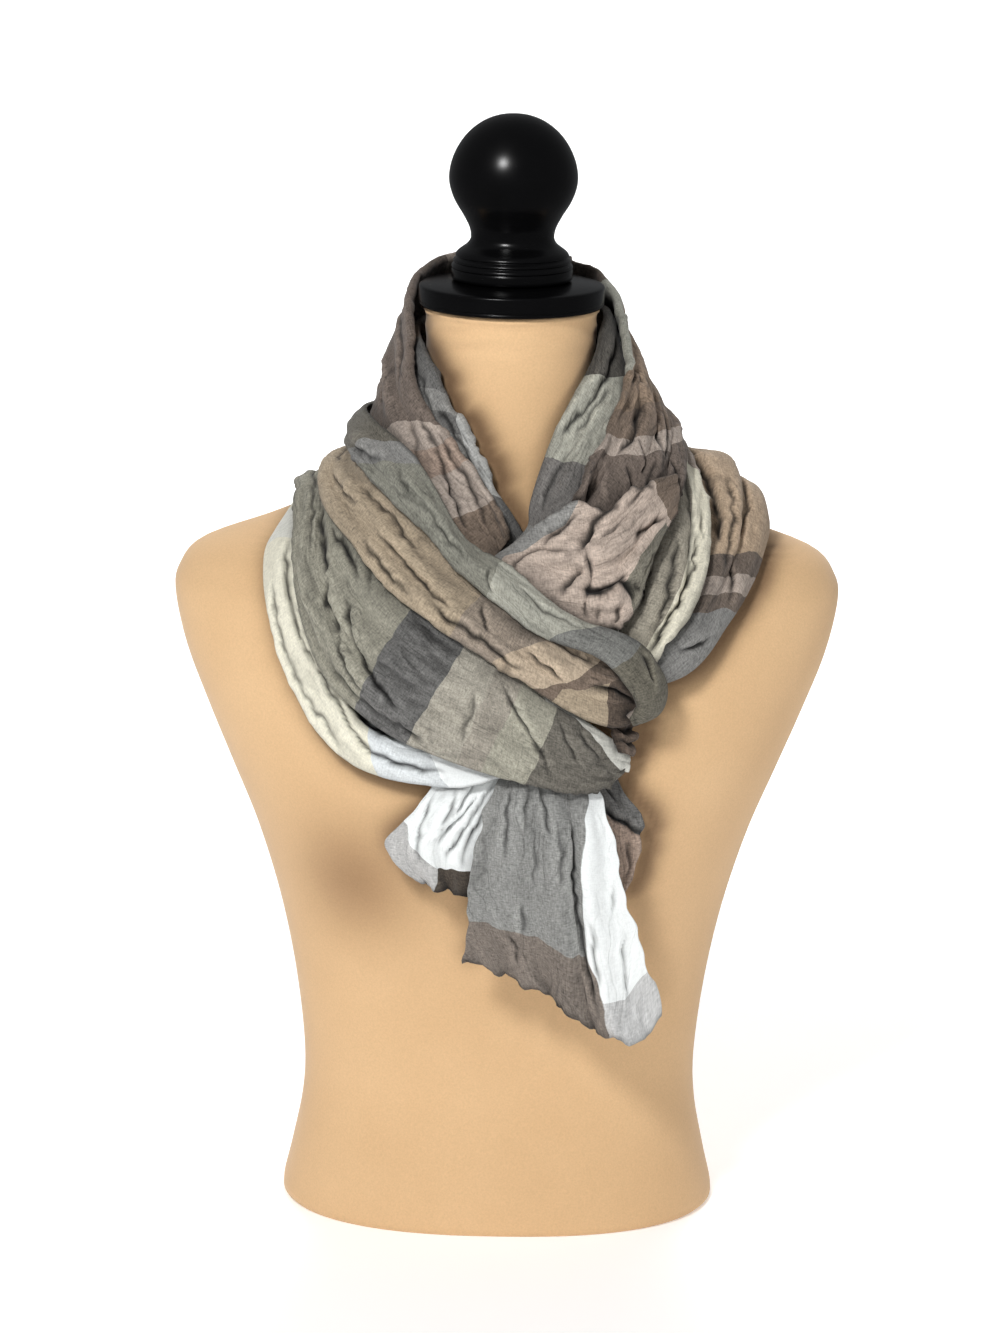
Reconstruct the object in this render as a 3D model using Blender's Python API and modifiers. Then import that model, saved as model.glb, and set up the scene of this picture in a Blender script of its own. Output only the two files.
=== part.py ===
"""A light crinkled scarf wound twice round a limbless dress form.

Blender script, metres, +Z up, -Y the front.  The form's flat underside stands at z = 0 and its neck rises on
the Z axis.  Tables are in millimetres.  Each stretch of the scarf is a band between an upper and a lower edge:
a table row is one section across it, folds run along it, its edges turn under, and it is laid on whatever lies
beneath it, in the order in which the scarf is wound.
"""
from collections import namedtuple
import math

import bpy
import numpy as np
from mathutils import Vector
from mathutils.bvhtree import BVHTree

# ------------------------------------------------------------------ driving dimensions, millimetres
MM = 0.001
WALL = 1.2                 # thickness of the cloth wall
CLEAR = 0.7                # least gap from a stretch to what it lies on
SEAM = 0.3                 # gap where one turn of the scarf goes on as the next node
FORM_SIDES = 36            # points round one ring of the form
FORM_RINGS = 28            # rings of the form, underside to neck
FORM_CROWD = 0.85          # below 1 sets the rings closer together towards the neck
CAP_FOOT = 549.0           # height of the cap disc's underside
CAP_SEAT = 0.4             # gap between the neck's top and the cap disc

# The form's rings: height, half width, depth to the front and to the back, power of the oval.
Ring = namedtuple("Ring", "z half front back power")
FORM = [
    Ring(0, 130, 88, 86, 2.4),
    Ring(4, 132, 90, 88, 2.4),
    Ring(26, 127, 88, 82, 2.4),
    Ring(60, 120.5, 83, 73, 2.4),
    Ring(92, 119.3, 81, 68, 2.4),
    Ring(140, 124.5, 85, 70, 2.4),
    Ring(188, 134, 95, 77, 2.3),
    Ring(236, 148, 107, 85, 2.3),
    Ring(276, 164, 113, 92, 2.25),
    Ring(310, 178, 110, 96, 2.2),
    Ring(345, 191, 101, 97, 2.2),
    Ring(376, 197.5, 88, 92, 2.2),
    Ring(391, 195, 80, 86, 2.15),
    Ring(405, 183, 72, 78, 2.1),
    Ring(419, 146, 64, 69, 2.0),
    Ring(431, 117, 58, 62, 2.0),
    Ring(443, 90, 54, 57, 2.0),
    Ring(455, 68, 51, 53, 2.0),
    Ring(467, 55, 50, 51, 2.0),
    Ring(482, 50.5, 49, 50, 2.0),
    Ring(510, 49.8, 49, 50, 2.0),
    Ring(CAP_FOOT - CAP_SEAT, 50.2, 50, 50, 2.0),
]

# The turned cap's outline, top to bottom: height and radius.
Turn = namedtuple("Turn", "z radius")
FINIAL = [
    Turn(661.0, 0.0), Turn(660.0, 9.0), Turn(656.5, 18.0), Turn(650.0, 26.5), Turn(641.0, 33.0),
    Turn(631.0, 36.8), Turn(621.0, 37.5), Turn(611.0, 34.4), Turn(602.0, 29.0), Turn(595.0, 25.4),
    Turn(590.0, 24.4), Turn(585.0, 25.4), Turn(580.5, 28.2), Turn(577.0, 32.0), Turn(574.5, 35.0),
    Turn(570.0, 35.6), Turn(566.0, 35.0), Turn(564.2, 34.0), Turn(564.2, 0.0),
]
DISC = [
    Turn(563.8, 0.0), Turn(563.8, 42.0), Turn(562.8, 50.0), Turn(560.5, 53.4), Turn(557.0, 54.5),
    Turn(553.0, 54.5), Turn(550.2, 53.4), Turn(CAP_FOOT, 51.0), Turn(CAP_FOOT, 0.0),
]
CAP_SIDES = 28
MERGE = 0.01               # points closer than this are joined in a turned piece

JERSEY = (0.76, 0.49, 0.29)
LACQUER = (0.01, 0.01, 0.011)
CLOTH_ROUGH, JERSEY_ROUGH, LACQUER_ROUGH = 0.85, 0.9, 0.12

# The way out from the form: a field that runs level from the neck, up from the shoulders and forward or back
# from the trunk, so that one layer laid along it never crosses the next.
NECK_FOOT, NECK_HEAD, NECK_RADIUS = 450.0, 640.0, 50.0
TRUNK_HALF, TRUNK_TOP, TRUNK_FALL, TRUNK_DEPTH = 110.0, 400.0, 0.3, 75.0
FIELD_BLEND = 25.0
FIELD_LIFT = 0.25
SEARCH = 120.0             # how far out and in from a stretch what it lies on is looked for
BETWEEN = 3                # places tested for each step of a stretch's grid
PASSES = 5                 # times a stretch is tested and moved
LOOK = 400                 # places at which a stretch's length is measured
EDGE_STEPS = 2             # steps in the turn of an edge
FADE = 0.25                # share of a fold over which it rises or dies away
HEM_BEGINS = 0.55          # share of a hanging end at which its hem begins to drop
RUFFLE_WAVES = 4.5         # waves along a hanging hem
RUFFLE_START = 0.6         # where in its wave the hem begins, in radians

# ------------------------------------------------------------------ the scarf's stretches
# A section gives the upper edge, the lower edge and how far the middle of the band stands out between them.
Section = namedtuple("Section", "ux uy uz lx ly lz bow")
# A fold runs along a stretch: its place across the band (0 upper edge, 1 lower edge) where it begins and where
# it ends, its height (a trough is negative), its width, and the part of the length that it covers.
Fold = namedtuple("Fold", "across_start across_end height width begin finish")
# How an edge turns under: radius, degrees turned and the straight that follows.
Edge = namedtuple("Edge", "radius turn tuck")
# A free hem: how far it hangs below the last section at places across the band.
Hem = namedtuple("Hem", "across drop")

SLIGHT = Edge(1.8, 90, 0)
SOFT = Edge(2.4, 90, 0)
ROUND = Edge(2.6, 130, 0)
DOUBLED = Edge(2.6, 180, 12)
RAW = Edge(0.0, 0, 0)

Stretch = namedtuple("Stretch", "name colour sections folds upper lower along across cling hem ruffle")


def stretch(name, colour, sections, folds=(), upper=SOFT, lower=SOFT, along=20, across=7, cling=6.0,
            hem=(), ruffle=0.0):
    """One stretch of the scarf, its tables turned into named rows."""
    return Stretch(name, colour, [Section(*row) for row in sections], [Fold(*row) for row in folds],
                   upper, lower, along, across, cling, [Hem(*row) for row in hem], ruffle)


BACK_INNER = (48, 34, 546, 60, 40, 508, 2)
BACK_COLLAR = (32, 60, 566, 38, 74, 486, 5)
BACK_SECOND = (4, 76, 484, 10, 92, 440, 6)
LEFT_SHOULDER = (-84, 26, 450, -125, 30, 419, 5)

SCARF = [
    stretch(
        "inner_left", (0.38, 0.33, 0.31),
        # upper x    y    z  lower x    y    z  bow
        [(11, -73, 424, -10, -84, 402, 2),
         (2, -67, 440, -24, -78, 420, 2),
         (-10, -60, 456, -36, -72, 436, 2),
         (-21, -52, 476, -48, -62, 452, 3),
         (-33, -43, 497, -58, -50, 468, 3),
         (-41, -33, 516, -65, -34, 484, 3),
         (-51, -10, 531, -70, -8, 498, 3),
         (-50, 25, 537, -64, 30, 505, 3),
         (-30, 51, 540, -38, 58, 509, 2),
         (0, 60, 541, 0, 69, 509, 2),
         (28, 54, 543, 34, 62, 508, 2),
         BACK_INNER],
        [(0.45, 0.40, -1.6, 6, 0.0, 0.8), (0.75, 0.7, 1.6, 6, 0.1, 1.0)],
        upper=Edge(2.4, 150, 0), along=18, across=4, cling=0),
    stretch(
        "collar_left", (0.13, 0.10, 0.085),
        [(1, -80, 426, -18, -94, 404, 3),
         (-5, -75, 440, -34, -90, 414, 3),
         (-13, -70, 452, -48, -83, 424, 4),
         (-24, -65, 466, -62, -75, 434, 5),
         (-35, -58, 481, -74, -63, 446, 5),
         (-44, -48, 494, -78, -50, 458, 5),
         (-51, -36, 510, -80, -32, 466, 5),
         (-53, -18, 533, -80, -8, 471, 5),
         (-55, 2, 551, -76, 14, 474, 5),
         (-52, 24, 563, -68, 36, 478, 5),
         (-43, 46, 570, -52, 58, 481, 5),
         (-22, 60, 573, -25, 73, 484, 5),
         (6, 64, 571, 8, 77, 486, 5),
         BACK_COLLAR],
        [(0.30, 0.26, -2.6, 6, 0.0, 0.62), (0.50, 0.46, 2.4, 6, 0.05, 0.7), (0.66, 0.62, -2.6, 6, 0.1, 0.6),
         (0.82, 0.80, 3.6, 9, 0.2, 0.65), (0.36, 0.50, -2.6, 7, 0.55, 1.0), (0.58, 0.72, 2.6, 7, 0.5, 1.0)],
        upper=DOUBLED, along=24, across=8, cling=0),
    stretch(
        "inner_right", (0.17, 0.17, 0.17),
        [BACK_INNER,
         (54, 14, 545, 70, 14, 506, 2),
         (53, -2, 543, 72, -8, 502, 3),
         (49, -15, 534, 73, -26, 494, 3),
         (45, -27, 520, 71, -44, 482, 3),
         (34, -42, 500, 63, -60, 467, 3),
         (26, -51, 484, 56, -70, 452, 3),
         (18, -60, 464, 48, -82, 438, 3),
         (13, -68, 446, 38, -90, 424, 3),
         (10, -79, 431, 24, -100, 408, 3),
         (-6, -90, 418, 2, -108, 398, 2)],
        [(0.30, 0.30, -1.8, 6, 0.25, 1.0), (0.62, 0.6, 2.0, 6, 0.3, 1.0)],
        upper=Edge(2.4, 150, 0), along=16, across=5, cling=0),
    stretch(
        "tail_back", (0.12, 0.10, 0.085),
        [(44, -106, 304, 66, -104, 304, 2),
         (50, -109, 284, 74, -106, 281, 3),
         (54, -110, 262, 81, -105, 264, 3),
         (58, -109, 240, 81, -105, 245, 3),
         (62, -108, 226, 77, -106, 222, 2)],
        [(0.5, 0.5, -2.4, 6, 0.0, 1.0)],
        upper=RAW, lower=RAW, along=8, across=6, cling=0),
    stretch(
        "tail_gusset", (0.72, 0.74, 0.74),
        [(-34, -116, 302, 2, -114, 302, 2),
         (-44, -119, 286, -1, -118, 285, 3),
         (-55, -120, 271, -6, -120, 268, 3),
         (-67, -120, 257, -10, -121, 254, 3),
         (-63, -119, 245, -14, -120, 239, 3),
         (-50, -118, 232, -16, -119, 224, 2)],
        [(0.15, 0.22, -2.6, 5, 0.0, 1.0), (0.38, 0.42, 2.4, 5, 0.0, 1.0), (0.6, 0.62, -2.6, 5, 0.0, 1.0),
         (0.82, 0.82, 2.0, 5, 0.0, 1.0)],
        upper=RAW, lower=RAW, along=9, across=10, cling=0, ruffle=2.5),
    stretch(
        "tail_panel", (0.26, 0.25, 0.24),
        [(2, -119, 301, 46, -118, 302, 3),
         (-8, -127, 286, 56, -125, 284, 4),
         (-14, -130, 264, 65, -127, 258, 4),
         (-18, -130, 244, 68, -128, 240, 4),
         (-20, -128, 222, 73, -126, 222, 4),
         (-20, -126, 204, 80, -124, 202, 3),
         (-22, -124, 190, 88, -122, 180, 3),
         (-25, -122, 184, 99, -120, 160, 2)],
        [(0.14, 0.10, -2.6, 5, 0.0, 0.9), (0.30, 0.26, 2.4, 5, 0.0, 0.7), (0.44, 0.42, -3.0, 5, 0.0, 0.95),
         (0.58, 0.56, 2.4, 5, 0.0, 0.8), (0.72, 0.64, -4.0, 5, 0.0, 1.0), (0.80, 0.74, 3.4, 5, 0.0, 1.0),
         (0.92, 0.9, -2.0, 5, 0.1, 1.0)],
        upper=RAW, lower=RAW, along=12, across=18, cling=0,
        hem=[(0.0, 0), (0.1, -4), (0.22, 2), (0.4, 6), (0.55, 18), (0.62, 21), (0.68, 14), (0.72, 26),
             (0.86, 28), (0.93, 14), (1.0, 2)], ruffle=3.0),
    stretch(
        "front_cream", (0.66, 0.63, 0.52),
        [(10, -122, 306, 0, -133, 289, 3),
         (-8, -122, 312, -14, -132, 290, 4),
         (-30, -119, 318, -36, -130, 291, 4),
         (-50, -116, 326, -60, -127, 293, 5),
         (-68, -111, 336, -84, -121, 299, 5),
         (-80, -105, 348, -104, -113, 313, 5),
         (-90, -98, 362, -117, -105, 329, 5),
         (-98, -88, 376, -129, -94, 350, 5),
         (-104, -78, 390, -136, -80, 370, 5),
         (-108, -64, 404, -140, -62, 390, 5),
         (-106, -48, 418, -139, -44, 406, 5),
         (-98, -30, 428, -131, -27, 416, 4),
         (-94, -10, 436, -124, -8, 424, 3),
         (-90, 10, 438, -121, 12, 422, 3),
         (-86, 30, 436, -106, 32, 422, 3)],
        [(0.35, 0.35, -2.2, 5, 0.05, 0.75), (0.62, 0.66, 2.0, 5, 0.1, 0.9)],
        upper=SLIGHT, along=22, across=5, cling=8),
    stretch(
        "rear_turn", (0.30, 0.24, 0.19),
        [(74, -104, 368, 84, -108, 346, 3),
         (86, -100, 384, 102, -104, 352, 4),
         (97, -90, 400, 116, -92, 362, 5),
         (104, -76, 416, 127, -78, 376, 7),
         (108, -58, 433, 137, -62, 388, 9),
         (108, -36, 450, 145, -44, 403, 11),
         (106, -14, 462, 151, -20, 417, 12),
         (101, 10, 467, 151, 6, 425, 12),
         (94, 34, 466, 143, 34, 422, 10),
         (78, 56, 460, 122, 62, 409, 8),
         (54, 72, 454, 92, 86, 394, 6),
         (26, 80, 450, 50, 97, 382, 6),
         (0, 83, 448, 6, 101, 376, 6),
         (-28, 80, 450, -42, 98, 378, 6),
         (-54, 70, 452, -82, 86, 390, 6),
         (-74, 50, 452, -106, 60, 406, 5),
         LEFT_SHOULDER],
        [(0.20, 0.20, -3.0, 7, 0.1, 0.6), (0.42, 0.36, 3.2, 7, 0.0, 0.55), (0.62, 0.58, -3.4, 7, 0.05, 0.7),
         (0.84, 0.80, 2.6, 7, 0.0, 0.6), (0.28, 0.40, 3.0, 8, 0.45, 1.0), (0.50, 0.60, -3.2, 8, 0.5, 1.0),
         (0.74, 0.80, 2.8, 8, 0.55, 1.0)],
        lower=ROUND, along=25, across=8, cling=3),
    stretch(
        "shoulder_stripe", (0.24, 0.23, 0.18),
        [(60, -110, 374, 84, -115, 362, 3),
         (58, -106, 390, 94, -112, 374, 4),
         (60, -98, 406, 106, -104, 388, 5),
         (66, -86, 424, 114, -92, 406, 6),
         (72, -70, 442, 118, -77, 424, 6),
         (78, -50, 460, 118, -58, 444, 6),
         (82, -26, 474, 112, -36, 460, 5),
         (82, -2, 480, 104, -8, 468, 4),
         (76, 22, 480, 104, 24, 458, 4),
         (62, 44, 478, 90, 52, 450, 5),
         (38, 66, 479, 56, 80, 442, 6),
         BACK_SECOND],
        [(0.28, 0.30, -2.4, 5, 0.05, 0.7), (0.55, 0.58, 2.6, 5, 0.0, 0.8), (0.78, 0.80, -2.6, 5, 0.05, 0.7),
         (0.5, 0.5, -2.6, 7, 0.6, 1.0)],
        lower=ROUND, along=20, across=7, cling=6),
    stretch(
        "collar_right", (0.20, 0.17, 0.15),
        [BACK_COLLAR,
         (49, 44, 561, 62, 58, 484, 3),
         (57, 23, 554, 81, 32, 476, 2),
         (58, 4, 547, 94, 6, 468, 2),
         (63, -14, 535, 99, -20, 460, 3),
         (65, -32, 515, 101, -44, 452, 4),
         (58, -49, 496, 100, -66, 440, 6),
         (52, -59, 480, 93, -84, 428, 6),
         (44, -69, 464, 84, -96, 414, 6),
         (36, -80, 448, 72, -106, 402, 5),
         (28, -90, 434, 56, -112, 390, 4)],
        [(0.16, 0.14, -2.8, 6, 0.2, 1.0), (0.30, 0.30, 2.6, 6, 0.15, 1.0), (0.45, 0.46, -3.0, 6, 0.2, 1.0),
         (0.60, 0.60, 2.8, 6, 0.2, 1.0), (0.74, 0.76, -3.0, 6, 0.2, 1.0), (0.88, 0.9, 2.4, 6, 0.25, 1.0),
         (0.52, 0.46, -2.6, 7, 0.0, 0.3), (0.75, 0.66, 2.4, 7, 0.0, 0.3)],
        upper=DOUBLED, along=18, across=12, cling=0),
    stretch(
        "mauve_bunch", (0.32, 0.25, 0.22),
        [(95, -62, 456, 96, -78, 438, 2),
         (82, -74, 456, 84, -94, 422, 4),
         (66, -83, 454, 78, -104, 404, 6),
         (52, -88, 450, 73, -112, 391, 7),
         (40, -88, 450, 58, -118, 382, 7),
         (28, -89, 446, 40, -117, 386, 6),
         (16, -91, 438, 22, -111, 396, 5),
         (4, -93, 428, 6, -106, 404, 4),
         (-6, -95, 420, -6, -104, 408, 3)],
        [(0.18, 0.30, -3.0, 6, 0.0, 0.9), (0.34, 0.5, 3.0, 6, 0.0, 1.0), (0.52, 0.62, -3.4, 6, 0.1, 0.9),
         (0.70, 0.74, 3.2, 6, 0.1, 1.0), (0.84, 0.88, -3.0, 6, 0.2, 0.7)],
        upper=ROUND, along=12, across=10, cling=6),
    stretch(
        "front_wide", (0.20, 0.19, 0.15),
        [LEFT_SHOULDER,
         (-88, 4, 448, -125, 6, 425, 4),
         (-90, -16, 444, -123, -18, 425, 4),
         (-90, -36, 439, -123, -39, 416, 5),
         (-88, -55, 433, -123, -58, 404, 6),
         (-82, -72, 428, -121, -76, 386, 8),
         (-72, -86, 420, -114, -91, 367, 9),
         (-60, -98, 410, -104, -103, 349, 10),
         (-46, -108, 400, -88, -114, 334, 10),
         (-30, -116, 392, -66, -124, 320, 10),
         (-14, -122, 382, -42, -131, 311, 9),
         (2, -126, 372, -16, -135, 303, 8),
         (18, -128, 354, 10, -136, 296, 7),
         (34, -128, 340, 34, -134, 291, 6),
         (50, -125, 328, 50, -129, 289, 5),
         (62, -119, 318, 61, -122, 291, 4),
         (71, -113, 309, 69, -115, 294, 3)],
        [(0.22, 0.30, 2.8, 7, 0.05, 0.6), (0.36, 0.40, -3.4, 7, 0.05, 0.75), (0.50, 0.52, 2.8, 7, 0.1, 0.8),
         (0.62, 0.66, -3.8, 7, 0.05, 0.8), (0.76, 0.80, 3.0, 7, 0.0, 0.9), (0.88, 0.92, -3.0, 6, 0.0, 0.6),
         (0.40, 0.22, 2.4, 8, 0.55, 1.0), (0.62, 0.5, -3.0, 8, 0.7, 1.0)],
        lower=ROUND, along=24, across=14, cling=3),
    stretch(
        "knot_gathers", (0.09, 0.075, 0.06),
        [(54, -115, 340, 76, -109, 338, 2),
         (58, -119, 328, 78, -114, 326, 3),
         (62, -120, 318, 77, -115, 316, 3),
         (65, -119, 310, 75, -114, 308, 2)],
        [(0.25, 0.3, -2.4, 4, 0.0, 1.0), (0.5, 0.52, 2.2, 4, 0.0, 1.0), (0.75, 0.74, -2.4, 4, 0.0, 1.0)],
        along=6, across=7, cling=4),
    stretch(
        "front_middle", (0.33, 0.26, 0.19),
        [(-66, 56, 462, -84, 62, 440, 3),
         (-80, 36, 464, -98, 42, 440, 4),
         (-85, 12, 466, -107, 14, 440, 4),
         (-85, -10, 465, -111, -12, 439, 5),
         (-81, -33, 462, -109, -36, 432, 5),
         (-74, -56, 458, -102, -57, 426, 6),
         (-62, -72, 450, -90, -73, 417, 6),
         (-50, -86, 440, -78, -88, 407, 6),
         (-36, -98, 428, -64, -102, 397, 6),
         (-22, -108, 416, -46, -116, 387, 6),
         (-6, -116, 404, -24, -128, 377, 6),
         (12, -122, 392, 0, -136, 363, 6),
         (30, -126, 384, 24, -138, 347, 6),
         (46, -128, 378, 48, -135, 333, 6),
         (60, -126, 370, 66, -128, 328, 5),
         (70, -120, 360, 77, -120, 331, 3)],
        [(0.25, 0.3, -2.8, 6, 0.05, 0.95), (0.45, 0.5, 2.8, 6, 0.1, 1.0), (0.66, 0.70, -3.2, 6, 0.15, 1.0),
         (0.84, 0.86, 2.4, 6, 0.1, 0.9)],
        lower=ROUND, along=24, across=8, cling=8),
    stretch(
        "front_upper", (0.18, 0.18, 0.155),
        [BACK_SECOND,
         (-26, 74, 489, -32, 91, 443, 6),
         (-56, 60, 488, -72, 76, 448, 6),
         (-74, 40, 486, -94, 50, 454, 5),
         (-80, 16, 486, -97, 18, 462, 4),
         (-82, -6, 484, -96, -14, 465, 3),
         (-78, -25, 481, -92, -36, 461, 3),
         (-69, -42, 476, -83, -57, 455, 3),
         (-56, -60, 469, -72, -74, 447, 4),
         (-46, -76, 461, -58, -88, 439, 4),
         (-37, -88, 448, -44, -99, 431, 3),
         (-29, -96, 436, -31, -109, 418, 4),
         (-18, -103, 427, -17, -117, 406, 4),
         (-2, -110, 420, 0, -124, 394, 5),
         (16, -118, 406, 16, -129, 383, 5),
         (34, -124, 394, 32, -133, 377, 4),
         (52, -127, 387, 46, -134, 373, 3),
         (68, -127, 383, 57, -133, 367, 3),
         (81, -124, 372, 65, -129, 357, 4),
         (91, -118, 356, 71, -124, 347, 4),
         (93, -113, 342, 75, -119, 340, 4),
         (86, -109, 331, 74, -115, 333, 3),
         (74, -107, 327, 70, -113, 329, 2)],
        [(0.30, 0.32, -2.2, 5, 0.25, 0.8), (0.55, 0.60, 2.4, 5, 0.2, 0.95), (0.80, 0.78, -2.2, 5, 0.25, 0.9),
         (0.35, 0.4, 2.6, 7, 0.0, 0.35), (0.62, 0.65, -2.8, 7, 0.0, 0.35)],
        upper=SOFT, lower=ROUND, along=34, across=6, cling=8),
]


# ------------------------------------------------------------------ small helpers
def unit(vectors):
    """Vectors of length one along the last axis."""
    length = np.linalg.norm(vectors, axis=-1, keepdims=True)
    return vectors / np.maximum(length, 1e-9)


def smooth_rows(rows, places):
    """A Catmull-Rom curve through the rows, read at places given in row numbers."""
    table = np.asarray(rows, float)
    last = len(table) - 1
    low = np.clip(np.floor(places).astype(int), 0, last - 1)
    part = (places - low)[:, None]
    before, start = table[np.maximum(low - 1, 0)], table[low]
    end, after = table[low + 1], table[np.minimum(low + 2, last)]
    return 0.5 * (2 * start + (end - before) * part + (2 * before - 5 * start + 4 * end - after) * part ** 2
                  + (3 * start - before - 3 * end + after) * part ** 3)


def ramp(value):
    """0 below 0, 1 above 1 and a smooth rise between."""
    value = np.clip(value, 0, 1)
    return value * value * (3 - 2 * value)


def material(name, colour, roughness):
    """A plain Principled material."""
    made = bpy.data.materials.new(name)
    made.use_nodes = True
    shader = made.node_tree.nodes["Principled BSDF"]
    shader.inputs["Base Color"].default_value = (*colour, 1)
    shader.inputs["Roughness"].default_value = roughness
    return made


def add_object(name, mesh, colour, roughness):
    """Put a mesh in the part's collection, under its node's name."""
    made = bpy.data.objects.new(name, mesh)
    made.data.materials.append(material(name, colour, roughness))
    PARTS.objects.link(made)
    mesh.shade_smooth()
    return made


def grid_mesh(name, grid, closed=False):
    """A mesh of quads over a grid of points in millimetres; closed joins the last column to the first."""
    rows, columns = grid.shape[:2]
    mesh = bpy.data.meshes.new(name)
    points = [tuple(point) for point in (grid.reshape(-1, 3) * MM)]
    faces = []
    for row in range(rows - 1):
        for column in range(columns if closed else columns - 1):
            beside = (column + 1) % columns
            faces.append((row * columns + column, row * columns + beside,
                          (row + 1) * columns + beside, (row + 1) * columns + column))
    if closed:
        faces.append(tuple(range(columns))[::-1])
        faces.append(tuple(range((rows - 1) * columns, rows * columns)))
    mesh.from_pydata(points, [], faces)
    mesh.update()
    return mesh


# ------------------------------------------------------------------ the form and its cap
def form_body():
    """The jersey-covered body and neck, a loft through oval rings."""
    heights = [ring.z for ring in FORM]
    rings = np.array([ring[1:] for ring in FORM])
    places = np.interp(np.linspace(0, 1, FORM_RINGS) ** FORM_CROWD, np.array(heights) / heights[-1],
                       np.arange(len(FORM)))
    places[0], places[-1] = 0, len(FORM) - 1
    shape = smooth_rows(np.column_stack([heights, rings]), places)
    turn = np.linspace(0, 2 * math.pi, FORM_SIDES, endpoint=False)
    grid = np.zeros((FORM_RINGS, FORM_SIDES, 3))
    for row, (z, half, front, back, power) in enumerate(shape):
        across = np.sign(np.cos(turn)) * np.abs(np.cos(turn)) ** (2 / power)
        deep = np.sign(np.sin(turn)) * np.abs(np.sin(turn)) ** (2 / power)
        grid[row, :, 0] = half * across
        grid[row, :, 1] = np.where(deep > 0, back, front) * deep
        grid[row, :, 2] = z
    return add_object("form_body", grid_mesh("form_body", grid, closed=True), JERSEY, JERSEY_ROUGH)


def turned(name, outline):
    """A turned piece: its outline from the top down its outer side, swept by a Screw modifier."""
    mesh = bpy.data.meshes.new(name)
    points = [(turn.radius * MM, 0, turn.z * MM) for turn in outline]
    mesh.from_pydata(points, [(index, index + 1) for index in range(len(points) - 1)], [])
    made = add_object(name, mesh, LACQUER, LACQUER_ROUGH)
    screw = made.modifiers.new("Turn", "SCREW")
    screw.steps = screw.render_steps = CAP_SIDES
    screw.use_merge_vertices = True
    screw.merge_threshold = MERGE * MM
    return made


# ------------------------------------------------------------------ laying the cloth
def way_out(points):
    """Unit vectors that lead out from the form at points in millimetres."""
    x, z = points[..., 0], points[..., 2]
    zero = np.zeros_like(x)
    from_neck = points - np.stack([zero, zero, np.clip(z, NECK_FOOT, NECK_HEAD)], -1)
    plate_x = np.clip(x, -TRUNK_HALF, TRUNK_HALF)
    plate_z = np.minimum(z, TRUNK_TOP - TRUNK_FALL * np.abs(plate_x))
    from_trunk = points - np.stack([plate_x, zero, plate_z], -1)
    neck = np.exp(-(np.linalg.norm(from_neck, axis=-1, keepdims=True) - NECK_RADIUS) / FIELD_BLEND)
    trunk = np.exp(-(np.linalg.norm(from_trunk, axis=-1, keepdims=True) - TRUNK_DEPTH) / FIELD_BLEND)
    way = unit(from_neck) * neck + unit(from_trunk) * trunk
    way[..., 2] += (FIELD_LIFT * (neck + trunk))[..., 0]
    return unit(way)


def section_frames(part, along):
    """Edge points, bow and outward normal of evenly spaced sections along a stretch."""
    spots = np.linspace(0, len(part.sections) - 1, LOOK)
    fine = smooth_rows(part.sections, spots)
    middle = (fine[:, 0:3] + fine[:, 3:6]) / 2
    run = np.concatenate([[0], np.cumsum(np.linalg.norm(np.diff(middle, axis=0), axis=1))])
    places = np.interp(np.linspace(0, run[-1], along), run, spots)
    rows = smooth_rows(part.sections, places)
    upper, lower, bow = rows[:, 0:3], rows[:, 3:6], rows[:, 6]
    middle = (upper + lower) / 2
    ahead = unit(np.gradient(middle, axis=0))
    down = unit(lower - upper)
    normal = unit(np.cross(ahead, down))
    if np.sum(normal * way_out(middle)) < 0:
        normal = -normal
    return upper, lower, bow, normal


def fold_height(part, along, across, width):
    """How far the folds stand out at places along and across a band of a given width."""
    height = np.zeros(np.broadcast(along, across).shape)
    for fold in part.folds:
        share = (along - fold.begin) / (fold.finish - fold.begin)
        centre = fold.across_start + (fold.across_end - fold.across_start) * share
        rise = ramp(share / FADE) if fold.begin > 0 else 1.0
        fall = ramp((1 - share) / FADE) if fold.finish < 1 else 1.0
        fade = np.where((share < 0) | (share > 1), 0, rise * fall)
        height = height + fold.height * fade * np.exp(-((across - centre) * width / fold.width) ** 2)
    return height


def turned_edge(edge):
    """Offsets beyond an edge and below it, from the band's last point to the end of the turned part."""
    if edge.turn == 0:
        return []
    offsets = []
    for step in range(1, EDGE_STEPS + 1):
        angle = math.radians(edge.turn) * step / EDGE_STEPS
        offsets.append((edge.radius * math.sin(angle), edge.radius * (1 - math.cos(angle))))
    if edge.tuck:
        angle = math.radians(edge.turn)
        beyond, below = offsets[-1]
        offsets.append((beyond + edge.tuck * math.cos(angle), below + edge.tuck * math.sin(angle)))
    return offsets


def band(part):
    """The grid of a stretch before it is laid, and how many of its columns are turned edge on each side."""
    upper, lower, bow, normal = section_frames(part, part.along)
    down = unit(lower - upper)
    upper = upper + down * part.upper.radius
    lower = lower - down * part.lower.radius
    width = np.linalg.norm(lower - upper, axis=1)
    u = np.linspace(0, 1, part.along)[:, None]
    v = np.linspace(0, 1, part.across)[None, :]
    stand = bow[:, None] * 4 * v * (1 - v) + fold_height(part, u, v, width[:, None])
    flat = upper[:, None] * (1 - v[..., None]) + lower[:, None] * v[..., None]
    grid = flat + normal[:, None] * stand[..., None]
    first = [grid[:, 0] - down * beyond - normal * below for beyond, below in turned_edge(part.upper)]
    final = [grid[:, -1] + down * beyond - normal * below for beyond, below in turned_edge(part.lower)]
    columns = first[::-1] + [grid[:, column] for column in range(part.across)] + final
    grid = np.stack(columns, axis=1)
    if part.hem:
        grid = hang_hem(part, grid)
    return grid, len(first), len(final)


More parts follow.
